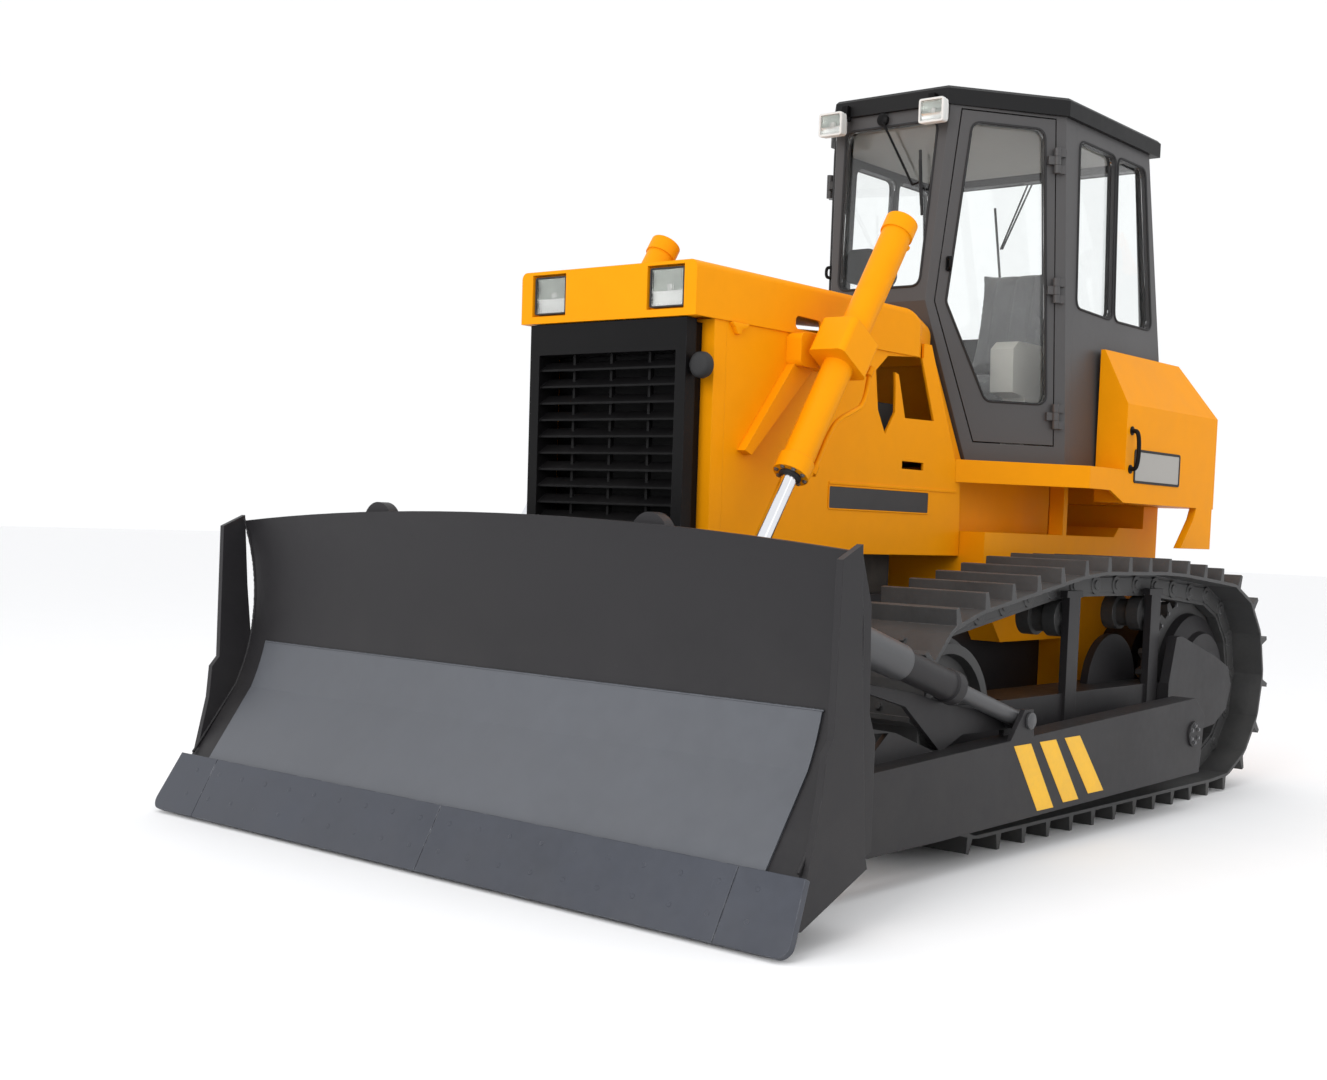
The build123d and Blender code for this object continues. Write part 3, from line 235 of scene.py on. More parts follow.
def scratchGroup():
    tree, put, out = shaderTree("scratches", (
        ("Stretch", "Vector", (2.0, 60.0, 60.0)), ("Cover", "Float", 0.5),
    ), (("Mask", "Float"), ("Height", "Float")))
    stretched = addNode(tree, "ShaderNodeMapping", {"Vector": put["Vector"], "Scale": put["Stretch"]})
    lines = addNoise(tree, stretched.outputs["Vector"], 1.0, 6.0, 0.7)
    places = remap(tree, addNoise(tree, put["Vector"], 2.5, 3.0), 0.35, 0.65)
    threshold = addMath(tree, "SUBTRACT", 0.75, product(tree, put["Cover"], 0.25))
    mask = remap(tree, lines, threshold, 0.72)
    tree.links.new(product(tree, mask, places), out["Mask"])
    tree.links.new(lines, out["Height"])
    return tree


def weaveGroup():
    tree, put, out = shaderTree("weave", (
        ("Scale", "Float", 260.0),
    ), (("Height", "Float"), ("Mask", "Float")))
    waves = []
    for direction in ("X", "DIAGONAL"):
        wave = addNode(tree, "ShaderNodeTexWave", {
            "Vector": put["Vector"], "Scale": put["Scale"], "Distortion": 0.6, "Detail": 1.0,
        }, bands_direction=direction)
        waves.append(wave.outputs["Fac"])
    height = product(tree, *waves)
    tree.links.new(height, out["Height"])
    tree.links.new(remap(tree, height, 0.1, 0.7), out["Mask"])
    return tree


groups = {tree.name: tree for tree in (
    mottleGroup(), edgeWearAndHighlightGroup(), dustGroup(), grainGroup(), scratchGroup(), weaveGroup(),
)}


def useGroup(tree, name, inputs):
    return addNode(tree, "ShaderNodeGroup", inputs, node_tree=groups[name]).outputs


# Finishes: every look is a dictionary, and what it leaves out comes from plainLook
plainLook = {
    "colour": (0.5, 0.5, 0.5), "rough": 0.5, "metal": 0.0, "specular": 0.5,
    "mottle": 0.10, "mottleScale": 2.5,
    "grain": 0.06, "grainScale": 220.0, "coarse": 0.3,
    "wear": 0.0, "edge": 0.003, "wearAndHighlightColour": (0.30, 0.29, 0.28), "wearAndHighlightMetal": 0.6,
    "dust": 0.0, "dustHeight": 1.2, "dustColour": (0.30, 0.25, 0.19),
    "scratches": 0.0, "stretch": (2.0, 60.0, 60.0), "scratchColour": (0.4, 0.4, 0.42),
}


def mixColour(tree, factor, first, second):
    inputs = {"Factor": factor}
    for number, value in ((6, first), (7, second)):  # the node's two colours
        inputs[number] = value if isinstance(value, bpy.types.NodeSocket) else (*value, 1)
    return addNode(tree, "ShaderNodeMix", inputs, data_type="RGBA").outputs[2]


def newMaterial(name):
    material = bpy.data.materials.new(name)
    material.use_nodes = True
    tree = material.node_tree
    place = addNode(tree, "ShaderNodeTexCoord").outputs["Object"]
    return material, tree, tree.nodes["Principled BSDF"], place


def finish(name, **changes):
    look = {**plainLook, **changes}
    material, tree, shader, place = newMaterial(name)
    mottle = useGroup(tree, "mottle", {
        "Vector": place, "Colour": (*look["colour"], 1),
        "Amount": look["mottle"], "Scale": look["mottleScale"],
    })
    wear = useGroup(tree, "edgeWearAndHighlight", {"Vector": place, "Radius": look["edge"], "Amount": look["wear"]})
    dust = useGroup(tree, "dust", {"Vector": place, "Height": look["dustHeight"], "Amount": look["dust"]})
    grain = useGroup(tree, "grain", {"Vector": place, "Scale": look["grainScale"], "Coarse": look["coarse"]})
    colour, height, normal = mottle["Colour"], grain["Height"], wear["Normal"]
    rough, metal = productPlus(tree, mottle["Value"], 0.12, look["rough"] - 0.06), look["metal"]
    if look["scratches"]:
        scratch = useGroup(tree, "scratches", {
            "Vector": place, "Stretch": look["stretch"], "Cover": look["scratches"],
        })
        scratched = product(tree, scratch["Mask"], look["scratches"])
        colour = mixColour(tree, scratched, colour, look["scratchColour"])
        rough = productPlus(tree, scratch["Mask"], -0.10, rough)
        height = productPlus(tree, scratch["Height"], 0.8, height)
    # The edge mask lays the worn colour: bare metal on the dark paints, a painted edge highlight on the
    # yellow body
    if look["wear"]:
        colour = mixColour(tree, wear["Mask"], colour, look["wearAndHighlightColour"])
        metal = productPlus(tree, wear["Mask"], look["wearAndHighlightMetal"] - metal, metal)
    if look["dust"]:
        colour = mixColour(tree, dust["Mask"], colour, look["dustColour"])
        rough = productPlus(tree, dust["Mask"], 0.3, rough)
    bump = addNode(tree, "ShaderNodeBump", {
        "Strength": look["grain"], "Distance": 0.002, "Height": height, "Normal": normal,
    })
    fillInputs(tree, shader, {
        "Base Color": colour, "Roughness": rough, "Metallic": metal, "Normal": bump.outputs["Normal"],
        "Specular IOR Level": look["specular"],
    })
    return material


def clearFinish(name, colour, rough):
    material, tree, shader, place = newMaterial(name)
    mottle = useGroup(tree, "mottle", {"Vector": place, "Colour": (*colour, 1), "Amount": 0.03, "Scale": 3.0})
    smear = productPlus(tree, mottle["Value"], 0.03, rough)
    fillInputs(tree, shader, {
        "Base Color": mottle["Colour"], "Roughness": smear, "Transmission Weight": 1.0, "IOR": 1.45,
    })
    return material


def clothFinish(name, colour):
    material, tree, shader, place = newMaterial(name)
    weave = useGroup(tree, "weave", {"Vector": place, "Scale": 240.0})
    mottle = useGroup(tree, "mottle", {"Vector": place, "Colour": (*colour, 1), "Amount": 0.35, "Scale": 7.0})
    dark = mixColour(tree, weave["Mask"], mottle["Colour"], tuple(c * 0.55 for c in colour))
    bump = addNode(tree, "ShaderNodeBump", {"Strength": 0.5, "Distance": 0.0008, "Height": weave["Height"]})
    fillInputs(tree, shader, {
        "Base Color": dark, "Normal": bump.outputs["Normal"], "Roughness": 0.92,
        "Sheen Weight": 0.4, "Sheen Roughness": 0.4,
    })
    return material


yellow = (0.84, 0.305, 0.002)
steel = (0.42, 0.42, 0.43)
finishes = {
    # The body's edge mask lays a brighter yellow on the rounded edges: a painted edge highlight, not worn
    # paint
    "bodyPaint": dict(
        colour=yellow, rough=0.42, specular=0.06, mottle=0.07, mottleScale=1.2, grain=0.05, wear=0.30,
        edge=0.004, wearAndHighlightColour=(0.95, 0.47, 0.03), wearAndHighlightMetal=0.0, dust=0.03, dustHeight=2.2,
        dustColour=(0.45, 0.24, 0.05),
    ),
    "framePaint": dict(
        colour=(0.019, 0.018, 0.0198), rough=0.46, specular=0.26, mottle=0.18, grain=0.09, wear=0.5,
        wearAndHighlightColour=(0.10, 0.10, 0.105), wearAndHighlightMetal=0.3, dust=0.22, dustHeight=1.1,
        dustColour=(0.075, 0.070, 0.064), scratches=0.14, stretch=(3.0, 40.0, 12.0),
        scratchColour=(0.055, 0.055, 0.058),
    ),
    "linerSteel": dict(
        colour=(0.098, 0.104, 0.118), rough=0.42, metal=0.25, mottle=0.14, mottleScale=1.6, grain=0.08,
        wear=0.5, wearAndHighlightColour=(0.24, 0.24, 0.25), wearAndHighlightMetal=0.7, scratches=0.30, stretch=(26.0, 3.0, 1.2),
        scratchColour=(0.15, 0.155, 0.17), dust=0.10, dustColour=(0.14, 0.135, 0.13),
    ),
    "edgeSteel": dict(
        colour=(0.048, 0.053, 0.068), rough=0.40, metal=0.3, mottle=0.2, grain=0.10, wear=0.8, edge=0.005,
        wearAndHighlightColour=(0.26, 0.27, 0.29), wearAndHighlightMetal=0.8, scratches=0.3, stretch=(30.0, 4.0, 2.0),
        scratchColour=(0.10, 0.11, 0.125), dust=0.15, dustHeight=0.35, dustColour=(0.10, 0.095, 0.09),
    ),
    "trackSteel": dict(
        colour=(0.052, 0.052, 0.053), rough=0.55, metal=0.2, mottle=0.35, mottleScale=5.0, grain=0.2,
        grainScale=120.0, wear=0.8, edge=0.005, wearAndHighlightColour=(0.22, 0.22, 0.225), wearAndHighlightMetal=0.7, dust=0.45,
        dustHeight=1.4, dustColour=(0.105, 0.102, 0.094),
    ),
    "cabPaint": dict(
        colour=(0.062, 0.060, 0.061), rough=0.44, specular=0.4, mottle=0.08, grain=0.10, wear=0.3,
        wearAndHighlightColour=(0.20, 0.20, 0.21), wearAndHighlightMetal=0.2, dust=0.08,
    ),
    "roofPaint": dict(
        colour=(0.0085, 0.0085, 0.009), rough=0.5, specular=0.22, mottle=0.2, grain=0.14, wear=0.3,
        wearAndHighlightColour=(0.10, 0.10, 0.10), dust=0.12, dustHeight=3.0, dustColour=(0.10, 0.10, 0.09),
    ),
    "blackPaint": dict(
        colour=(0.0040, 0.0038, 0.0042), rough=0.42, specular=0.12, mottle=0.3, grain=0.10, wear=0.5,
        wearAndHighlightColour=(0.06, 0.06, 0.065), wearAndHighlightMetal=0.2, dust=0.10, dustHeight=2.2,
        dustColour=(0.07, 0.065, 0.06),
    ),
    "castIron": dict(
        colour=(0.030, 0.029, 0.028), rough=0.7, metal=0.2, mottle=0.4, grain=0.4, grainScale=90.0,
        dust=0.4, dustHeight=2.0,
    ),
    "braceSteel": dict(
        colour=(0.075, 0.076, 0.080), rough=0.42, metal=0.3, mottle=0.2, grain=0.1, wear=0.5,
        wearAndHighlightColour=steel, dust=0.2, dustHeight=1.0, dustColour=(0.16, 0.15, 0.14),
    ),
    "chromeRod": dict(
        colour=(0.80, 0.81, 0.84), rough=0.14, metal=1.0, mottle=0.05, grain=0.02, specular=0.5,
        scratches=0.12, stretch=(80.0, 2.0, 2.0), scratchColour=(0.55, 0.55, 0.57),
    ),
    "boltSteel": dict(
        colour=(0.16, 0.16, 0.165), rough=0.42, metal=0.7, mottle=0.4, mottleScale=20.0, grain=0.15,
        edge=0.001, wear=0.5, wearAndHighlightColour=steel,
    ),
    "rubber": dict(colour=(0.014, 0.014, 0.015), rough=0.72, mottle=0.3, grain=0.2, grainScale=400.0),
    "plastic": dict(colour=(0.018, 0.018, 0.019), rough=0.5, mottle=0.2, grain=0.25, grainScale=500.0),
    "creamPlastic": dict(colour=(0.90, 0.87, 0.79), rough=0.5, mottle=0.08, grain=0.2, grainScale=450.0),
    "headliner": dict(colour=(0.52, 0.50, 0.465), rough=0.85, mottle=0.1, grain=0.35, grainScale=350.0),
    "lampShell": dict(colour=(0.66, 0.66, 0.64), rough=0.4, mottle=0.1, grain=0.1, wear=0.2),
    "mirror": dict(colour=(0.95, 0.95, 0.93), rough=0.38, metal=1.0, mottle=0.05, grain=0.02),
    # Darker grey-green copy of the mirror finish for the upper reflector halves: painted shade, standing in
    # for a darker reflection
    "mirrorWithPaintedShade": dict(
        colour=(0.46, 0.49, 0.45), rough=0.36, metal=1.0, mottle=0.3, mottleScale=30.0, grain=0.02,
    ),
    "plate": dict(colour=(0.36, 0.345, 0.32), rough=0.4, metal=0.1, mottle=0.06, grain=0.04, wear=0.2),
    "stripePaint": dict(
        colour=(0.86, 0.47, 0.012), rough=0.45, mottle=0.12, mottleScale=6.0, grain=0.08, wear=0.4,
        wearAndHighlightColour=(0.12, 0.12, 0.12), wearAndHighlightMetal=0.1,
    ),
}
looks = {name: finish(name, **settings) for name, settings in finishes.items()}
looks.update({
    "windowGlass": clearFinish("windowGlass", (0.97, 0.985, 0.98), 0.0),
    "lensGlass": clearFinish("lensGlass", (0.97, 0.98, 0.97), 0.12),
    "seatCloth": clothFinish("seatCloth", (0.30, 0.30, 0.305)),
})
finishOf = {
    "bodyPaint": "rear_case rear_hitch front_guard hood side_panels floor_platform fuel_tank cowl "
                 "cylinder_yokes lift_barrel_left lift_barrel_right",
    "framePaint": "main_frame track_frames equalizer_beam final_drives moldboard push_arms",
    "braceSteel": "braces",
    "trackSteel": "track_left track_right track_rollers carrier_rollers front_idlers drive_sprockets",
    "edgeSteel": "cutting_edge", "linerSteel": "blade_liner", "castIron": "engine_block",
    "blackPaint": "radiator grille", "roofPaint": "cab_roof",
    "cabPaint": "cab_front cab_rear door_left door_right",
    "windowGlass": "cab_windows door_glass_left door_glass_right",
    "chromeRod": "lift_rod_left lift_rod_right", "plastic": "dash_console", "creamPlastic": "control_levers",
}
for look, names in finishOf.items():
    for name in names.split():
        node = nodes[name]
        if not node.material_slots:
            node.data.materials.append(looks[look])
        for slot in node.material_slots:
            slot.material = looks[look]
print("finishes ready:", len(looks))


# Shapes: each piece collects its solids in one bmesh and is then placed on its body
placeOn = {  # an outline's two numbers and the place along the axis, in the model's order
    "x": lambda a, b, c: (c, a, b),
    "y": lambda a, b, c: (a, c, b),
    "z": lambda a, b, c: (a, b, c),
}


def bridge(bm, first, second):
    pairs = list(zip(first, second))
    return [bm.faces.new((a, b, d, c)) for (a, c), (b, d) in zip(pairs, pairs[1:] + pairs[:1])]


def addLoft(bm, first, second):
    near, far = ([bm.verts.new(place) for place in line] for line in (first, second))
    faces = [bm.faces.new(near), bm.faces.new(far[::-1]), *bridge(bm, far, near)]
    bmesh.ops.recalc_face_normals(bm, faces=faces)


def addPrism(bm, outline, axis, start, end):
    order = placeOn[axis]
    addLoft(bm, *([order(a, b, c) for a, b in outline] for c in (start, end)))


def addFrame(bm, outer, inner, axis, start, end):
    order = placeOn[axis]
    loops = [[bm.verts.new(order(a, b, c)) for a, b in line] for line in (outer, inner) for c in (start, end)]
    faces = []
    for first, second in ((0, 1), (3, 2), (1, 3), (2, 0)):
        faces += bridge(bm, loops[first], loops[second])
    bmesh.ops.recalc_face_normals(bm, faces=faces)


def rectangle(acrossLow, acrossHigh, upLow, upHigh, grow=0.0):
    acrossLow, upLow, acrossHigh, upHigh = acrossLow - grow, upLow - grow, acrossHigh + grow, upHigh + grow
    return [(acrossLow, upLow), (acrossHigh, upLow), (acrossHigh, upHigh), (acrossLow, upHigh)]


def mirrored(points):
    return [*points, *((-x, y) for x, y in reversed(points))]


def addBlock(bm, low, high):
    addPrism(bm, rectangle(low[0], high[0], low[1], high[1]), "z", low[2], high[2])


def addTurned(bm, centre, direction, profile, steps=28):
    turn = Vector(direction).to_track_quat("Z", "Y")
    rings = []
    for along, radius in profile:
        ring = []
        for k in range(steps):
            angle = 2 * math.pi * k / steps
            spot = Vector((radius * math.cos(angle), radius * math.sin(angle), along))
            ring.append(bm.verts.new(Vector(centre) + turn @ spot))
        rings.append(ring)
    faces = [bm.faces.new(rings[0][::-1]), bm.faces.new(rings[-1])]
    for first, second in zip(rings, rings[1:]):
        faces += bridge(bm, first, second)
    bmesh.ops.recalc_face_normals(bm, faces=faces)


def smoothPath(points):
    path = [Vector(p) for p in points]
    for _ in range(3):
        finer = [path[0]]
        for a, b in zip(path, path[1:]):
            finer += [a * 0.75 + b * 0.25, a * 0.25 + b * 0.75]
        path = finer + [path[-1]]
    return path


def addPipe(bm, points, radius, steps=12, closed=False):
    path = [Vector(p) for p in points]
    count = len(path)
    rings, across = [], None
    for k, spot in enumerate(path):
        ahead = path[(k + 1) % count] if closed or k < count - 1 else spot
        behind = path[k - 1] if closed or k > 0 else spot
        way = (ahead - behind).normalized()
        if across is None:
            across = way.orthogonal().normalized()
        across = (across - way * across.dot(way)).normalized()
        other = way.cross(across)
        rings.append([
            bm.verts.new(spot + (across * math.cos(t) + other * math.sin(t)) * radius)
            for t in (2 * math.pi * s / steps for s in range(steps))
        ])
    faces = []
    pairs = list(zip(rings, rings[1:])) + ([(rings[-1], rings[0])] if closed else [])
    for first, second in pairs:
        faces += bridge(bm, first, second)
    if not closed:
        faces += [bm.faces.new(rings[0][::-1]), bm.faces.new(rings[-1])]
    bmesh.ops.recalc_face_normals(bm, faces=faces)


def roundedOutline(points, radius, steps=5):
    outline = []
    for k, point in enumerate(points):
        here = Vector(point)
        before, after = Vector(points[k - 1]), Vector(points[(k + 1) % len(points)])
        toBefore, toAfter = (before - here).normalized(), (after - here).normalized()
        half = toBefore.angle(toAfter) / 2
        reach = min(radius / math.tan(half), 0.45 * (before - here).length, 0.45 * (after - here).length)
        start, end = here + toBefore * reach, here + toAfter * reach
        for s in range(steps + 1):
            t = s / steps
            outline.append(tuple(start * (1 - t) ** 2 + here * 2 * t * (1 - t) + end * t ** 2))
    return outline


def meshFrom(name, bm):
    mesh = bpy.data.meshes.new(name)
    bm.to_mesh(mesh)
    bm.free()
    return mesh


def bakedMesh(piece):
    ready = piece.evaluated_get(bpy.context.evaluated_depsgraph_get())
    return bpy.data.meshes.new_from_object(ready)


def shadeSmooth(mesh, angle=38):
    mesh.polygons.foreach_set("use_smooth", [True] * len(mesh.polygons))
    mesh.set_sharp_from_angle(angle=math.radians(angle))


def putObject(name, mesh, body, look, stands=()):
    piece = linkObject(name, mesh)
    if not mesh.materials:
        mesh.materials.append(looks[look])
    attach(piece, body)
    if stands:
        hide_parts(*stands)
    return piece


def putPiece(name, bm, look, body="machine", stands=(), bevel=0.0, angle=38):
    if bevel:
        sharp = [e for e in bm.edges if len(e.link_faces) == 2 and e.calc_face_angle() > math.radians(angle)]
        bmesh.ops.bevel(
            bm, geom=sharp, offset=bevel, segments=2, profile=0.6, affect="EDGES", clamp_overlap=True,
        )
    mesh = meshFrom(name, bm)
    shadeSmooth(mesh, angle)
    return putObject(name, mesh, body, look, stands)


# Geometry Nodes: small parts set at points that carry the way they face
def geometryTree(name, *inputs):
    shape, material = ("Geometry", "Geometry"), ("Material", "Material", None)
    return newTree(name, "GeometryNodeTree", ((*shape, None), *inputs, material), (shape,))


def pointsObject(name, places):
    mesh = bpy.data.meshes.new(name)
    mesh.from_pydata([p for p, _ in places], [], [])
    facing = mesh.attributes.new("facing", "FLOAT_VECTOR", "POINT")
    facing.data.foreach_set("vector", [c for _, way in places for c in way])
    return linkObject(name, mesh)


def lineObject(name, lines, closed=False):
    curve = bpy.data.curves.new(name, "CURVE")
    curve.dimensions = "3D"
    for line in lines:
        spline = curve.splines.new("POLY")
        spline.points.add(len(line) - 1)
        for target, place in zip(spline.points, line):
            target.co = (*place, 1)
        spline.use_cyclic_u = closed
    return linkObject(name, curve)


def endTree(tree, geometry, put, out):
    real = addNode(tree, "GeometryNodeRealizeInstances", {0: geometry})
    settings = {"Geometry": real.outputs[0], "Material": put["Material"]}
    tree.links.new(addNode(tree, "GeometryNodeSetMaterial", settings).outputs[0], out["Geometry"])


def placeOnPoints(tree, points, shape, axis, pivot="AUTO"):
    facing = addNode(tree, "GeometryNodeInputNamedAttribute", {"Name": "facing"}, data_type="FLOAT_VECTOR")
    turned = addNode(tree, "FunctionNodeAlignRotationToVector", {
        "Vector": facing.outputs["Attribute"],
    }, axis=axis, pivot_axis=pivot)
    made = addNode(tree, "GeometryNodeInstanceOnPoints", {
        "Points": points, "Instance": shape, "Rotation": turned.outputs["Rotation"],
    })
    return made.outputs["Instances"]


def joined(tree, parts):
    made = tree.nodes.new("GeometryNodeJoinGeometry")
    for part in reversed(parts):
        tree.links.new(part, made.inputs[0])
    return made.outputs[0]


def moved(tree, geometry, place=(0, 0, 0), turn=(0, 0, 0)):
    settings = {"Geometry": geometry, "Rotation": turn, "Translation": place}
    return addNode(tree, "GeometryNodeTransform", settings).outputs[0]


def meshCylinder(tree, sides, radius, depth):
    settings = {"Vertices": sides, "Radius": radius, "Depth": depth}
    return addNode(tree, "GeometryNodeMeshCylinder", settings).outputs["Mesh"]


def hexHead(tree, size, height):
    head = meshCylinder(tree, 6, size, height)
    wide = product(tree, size, 1.25)
    thin = product(tree, height, 0.3)
    washer = meshCylinder(tree, 14, wide, thin)
    lift = combine(tree, Z=product(tree, height, 0.5))
    return joined(tree, [moved(tree, head, lift), washer])


def boltTree():
    tree, put, out = geometryTree("boltHeads", ("Head Size", "Float", 0.012), ("Head Height", "Float", 0.01))
    head = hexHead(tree, put["Head Size"], put["Head Height"])
    endTree(tree, placeOnPoints(tree, put["Geometry"], head, "Z"), put, out)
    return tree


def boltRingTree():
    tree, put, out = geometryTree(
        "boltRings", ("Count", "Int", 12), ("Ring Radius", "Float", 0.2),
        ("Head Size", "Float", 0.012), ("Head Height", "Float", 0.01),
    )
    ring = addNode(tree, "GeometryNodeMeshCircle", {"Vertices": put["Count"], "Radius": put["Ring Radius"]})
    heads = addNode(tree, "GeometryNodeInstanceOnPoints", {
        "Points": ring.outputs["Mesh"], "Instance": hexHead(tree, put["Head Size"], put["Head Height"]),
    })
    endTree(tree, placeOnPoints(tree, put["Geometry"], heads.outputs["Instances"], "Z"), put, out)
    return tree


def trackFittingsTree():
    # One link: plates and pin bosses on both sides of the chain, and four shoe bolts outside the shoe
    tree, put, out = geometryTree(
        "trackFittings", ("Pitch", "Float", 0.2032), ("Chain Half Width", "Float", 0.09),
        ("Link Height", "Float", 0.07), ("Boss Radius", "Float", 0.043), ("Shoe Height", "Float", 0.067),
        ("Bolt Size", "Float", 0.014),
    )
    parts = []
    size = combine(tree, X=0.012, Y=product(tree, put["Pitch"], 0.72), Z=put["Link Height"])
    bar = addNode(tree, "GeometryNodeMeshCube", {"Size": size}).outputs["Mesh"]
    boss = meshCylinder(tree, 18, put["Boss Radius"], 0.02)
    pin = meshCylinder(tree, 14, product(tree, put["Boss Radius"], 0.5), 0.03)
    end = moved(tree, joined(tree, [boss, pin]), turn=(0, math.pi / 2, 0))
    bolt = moved(tree, hexHead(tree, put["Bolt Size"], 0.012), turn=(math.pi, 0, 0))
    for side in (1, -1):
        x = product(tree, put["Chain Half Width"], float(side))
        parts.append(moved(tree, bar, combine(tree, X=x)))
        y = product(tree, put["Pitch"], -0.5)
        parts.append(moved(tree, end, combine(tree, X=x, Y=y)))
        for share in (-0.18, 0.12):
            parts.append(moved(tree, bolt, combine(
                tree, X=product(tree, put["Chain Half Width"], 0.7 * side),
                Y=product(tree, put["Pitch"], share), Z=product(tree, put["Shoe Height"], -1.0),
            )))
    endTree(tree, placeOnPoints(tree, put["Geometry"], joined(tree, parts), "Y", "X"), put, out)
    return tree


def beadTree():
    # Weld ripples or stitches: a small round or long drop at each step along a line
    tree, put, out = geometryTree(
        "beads", ("Step", "Float", 0.008), ("Radius", "Float", 0.006), ("Stretch", "Float", 1.0),
        ("Jitter", "Float", 0.15), ("Seed", "Int", 4),
    )
    along = {"Curve": put["Geometry"], "Length": put["Step"]}
    spots = addNode(tree, "GeometryNodeCurveToPoints", along, mode="LENGTH")
    ball = {"Segments": 8, "Rings": 5, "Radius": put["Radius"]}
    drop = addNode(tree, "GeometryNodeMeshUVSphere", ball).outputs["Mesh"]
    chance = addNode(tree, "FunctionNodeRandomValue", {"Seed": put["Seed"]}, data_type="FLOAT")
    chance.inputs[2].default_value, chance.inputs[3].default_value = -1.0, 1.0
    size = productPlus(tree, chance.outputs[1], put["Jitter"], 1.0)
    long = product(tree, size, put["Stretch"])
    made = addNode(tree, "GeometryNodeInstanceOnPoints", {
        "Points": spots.outputs["Points"], "Instance": drop, "Rotation": spots.outputs["Rotation"],
        "Scale": combine(tree, X=size, Y=size, Z=long),
    })
    endTree(tree, made.outputs["Instances"], put, out)
    return tree


nodeTrees = {tree.name: tree for tree in (boltTree(), boltRingTree(), trackFittingsTree(), beadTree())}


def growPiece(name, source, treeName, body, look, slot=None, smooth=40, **inputs):
    tree = nodeTrees[treeName]
    modifier = source.modifiers.new("grow", "NODES")
    modifier.node_group = tree
    sockets = {item.name: item.identifier for item in tree.interface.items_tree if item.in_out == "INPUT"}
    modifier[sockets["Material"]] = looks[look]
    for label, value in inputs.items():
        modifier[sockets[label.replace("_", " ")]] = value
    bpy.context.view_layer.update()
    mesh = bakedMesh(source)
    mesh.name = name
    mesh.transform(source.matrix_world)
    bpy.data.objects.remove(source)
    shadeSmooth(mesh, smooth)
    return putObject(name, mesh, body, look)


print("tools ready")

# Track loops: the chain's pitch line gives each link its place and direction
track = {
    "pitch": 0.2032, "count": 36, "midX": 0.94, "sprocket": (1.6, 0.132), "teeth": 27, "idlerRadius": 0.39,
    "carriers": ((0.16, 1.068), (0.97, 1.068)), "chainHalf": 0.09, "shoeHeight": 0.067,
    "wheelbases": (1.2, 4.0),  # shortest and longest tried between idler and sprocket
}


def chainRuns(idlerY):
    radius = track["pitch"] / 2 / math.sin(2 * math.pi / track["teeth"])
    lowZ = track["sprocket"][1]
    rear, front = Vector((track["sprocket"][0], lowZ + radius)), Vector((idlerY, lowZ + track["idlerRadius"]))
    highFront, highRear = Vector(track["carriers"][0]), Vector(track["carriers"][1])

    def tangent(centre, size, point, way):
        reach = point - centre
        return math.atan2(reach.y, reach.x) + way * math.acos(size / reach.length)

    leave, meet = tangent(rear, radius, highRear, -1), tangent(front, track["idlerRadius"], highFront, 1)
    onWheel = lambda centre, size, angle: centre + size * Vector((math.cos(angle), math.sin(angle)))
    return [
        ("line", Vector((idlerY, lowZ)), Vector((rear.x, lowZ))),
        ("arc", rear, radius, -math.pi / 2, leave + math.pi / 2),
        ("line", onWheel(rear, radius, leave), highRear),
        ("line", highRear, highFront),
        ("line", highFront, onWheel(front, track["idlerRadius"], meet)),
        ("arc", front, track["idlerRadius"], meet, 3 * math.pi / 2 - meet),
    ]


def runLength(run):
    return (run[2] - run[1]).length if run[0] == "line" else run[2] * run[4]


def chainPins():
    near, far = (track["sprocket"][0] - long for long in track["wheelbases"])
    for _ in range(50):
        middle = (near + far) / 2
        short = sum(runLength(run) for run in chainRuns(middle)) < track["pitch"] * track["count"]
        near, far = (middle, far) if short else (near, middle)
    runs, pins = chainRuns(middle), []
    for k in range(track["count"]):
        distance = track["pitch"] * k
        for run in runs:
            if distance <= runLength(run):
                break
            distance -= runLength(run)
        share = distance / runLength(run)
        if run[0] == "line":
            pins.append(run[1].lerp(run[2], share))
        else:
            angle = run[3] + run[4] * share
            pins.append(run[1] + run[2] * Vector((math.cos(angle), math.sin(angle))))
    return pins, middle


pins, idlerY = chainPins()
for side, name in sides:
    places = []
    for k, pin in enumerate(pins):
        ahead = pins[(k + 1) % len(pins)]
        middle, way = (pin + ahead) / 2, (ahead - pin).normalized()
        places.append(((side * track["midX"], middle.x, middle.y), (0, way.x, way.y)))
    growPiece(
        f"trackFittings{name}", pointsObject("links", places), "trackFittings",
        "machine", "trackSteel", "track_steel", Pitch=track["pitch"],
        Chain_Half_Width=track["chainHalf"], Shoe_Height=track["shoeHeight"],
    )


def ringBolts(name, spots, body, slot, count, radius, head, height):
    growPiece(
        name, pointsObject("rings", spots), "boltRings", body, "boltSteel", slot,
        Count=count, Ring_Radius=radius, Head_Size=head, Head_Height=height,
    )


# Bolt rings on the wheels and their covers: ring radius, count, head size, how far out
wheelRings = {
    "hub": ((1.6, 0.5727), ((0.290, 20, 0.013, 1.0105), (0.118, 8, 0.012, 1.101), (0.408, 27, 0.010, 0.969))),
    "idler": ((idlerY, 0.522), ((0.078, 8, 0.010, 1.031), (0.150, 10, 0.010, 0.986))),
}
for name, (centre, rings) in wheelRings.items():
    for number, (radius, count, head, x) in enumerate(rings):
        places = [((side * x, *centre), (side, 0, 0)) for side, _ in sides]
        ringBolts(f"{name}Bolts{number}", places, "machine", "grey_paint", count, radius, head, head * 0.7)
print("track fittings ready")

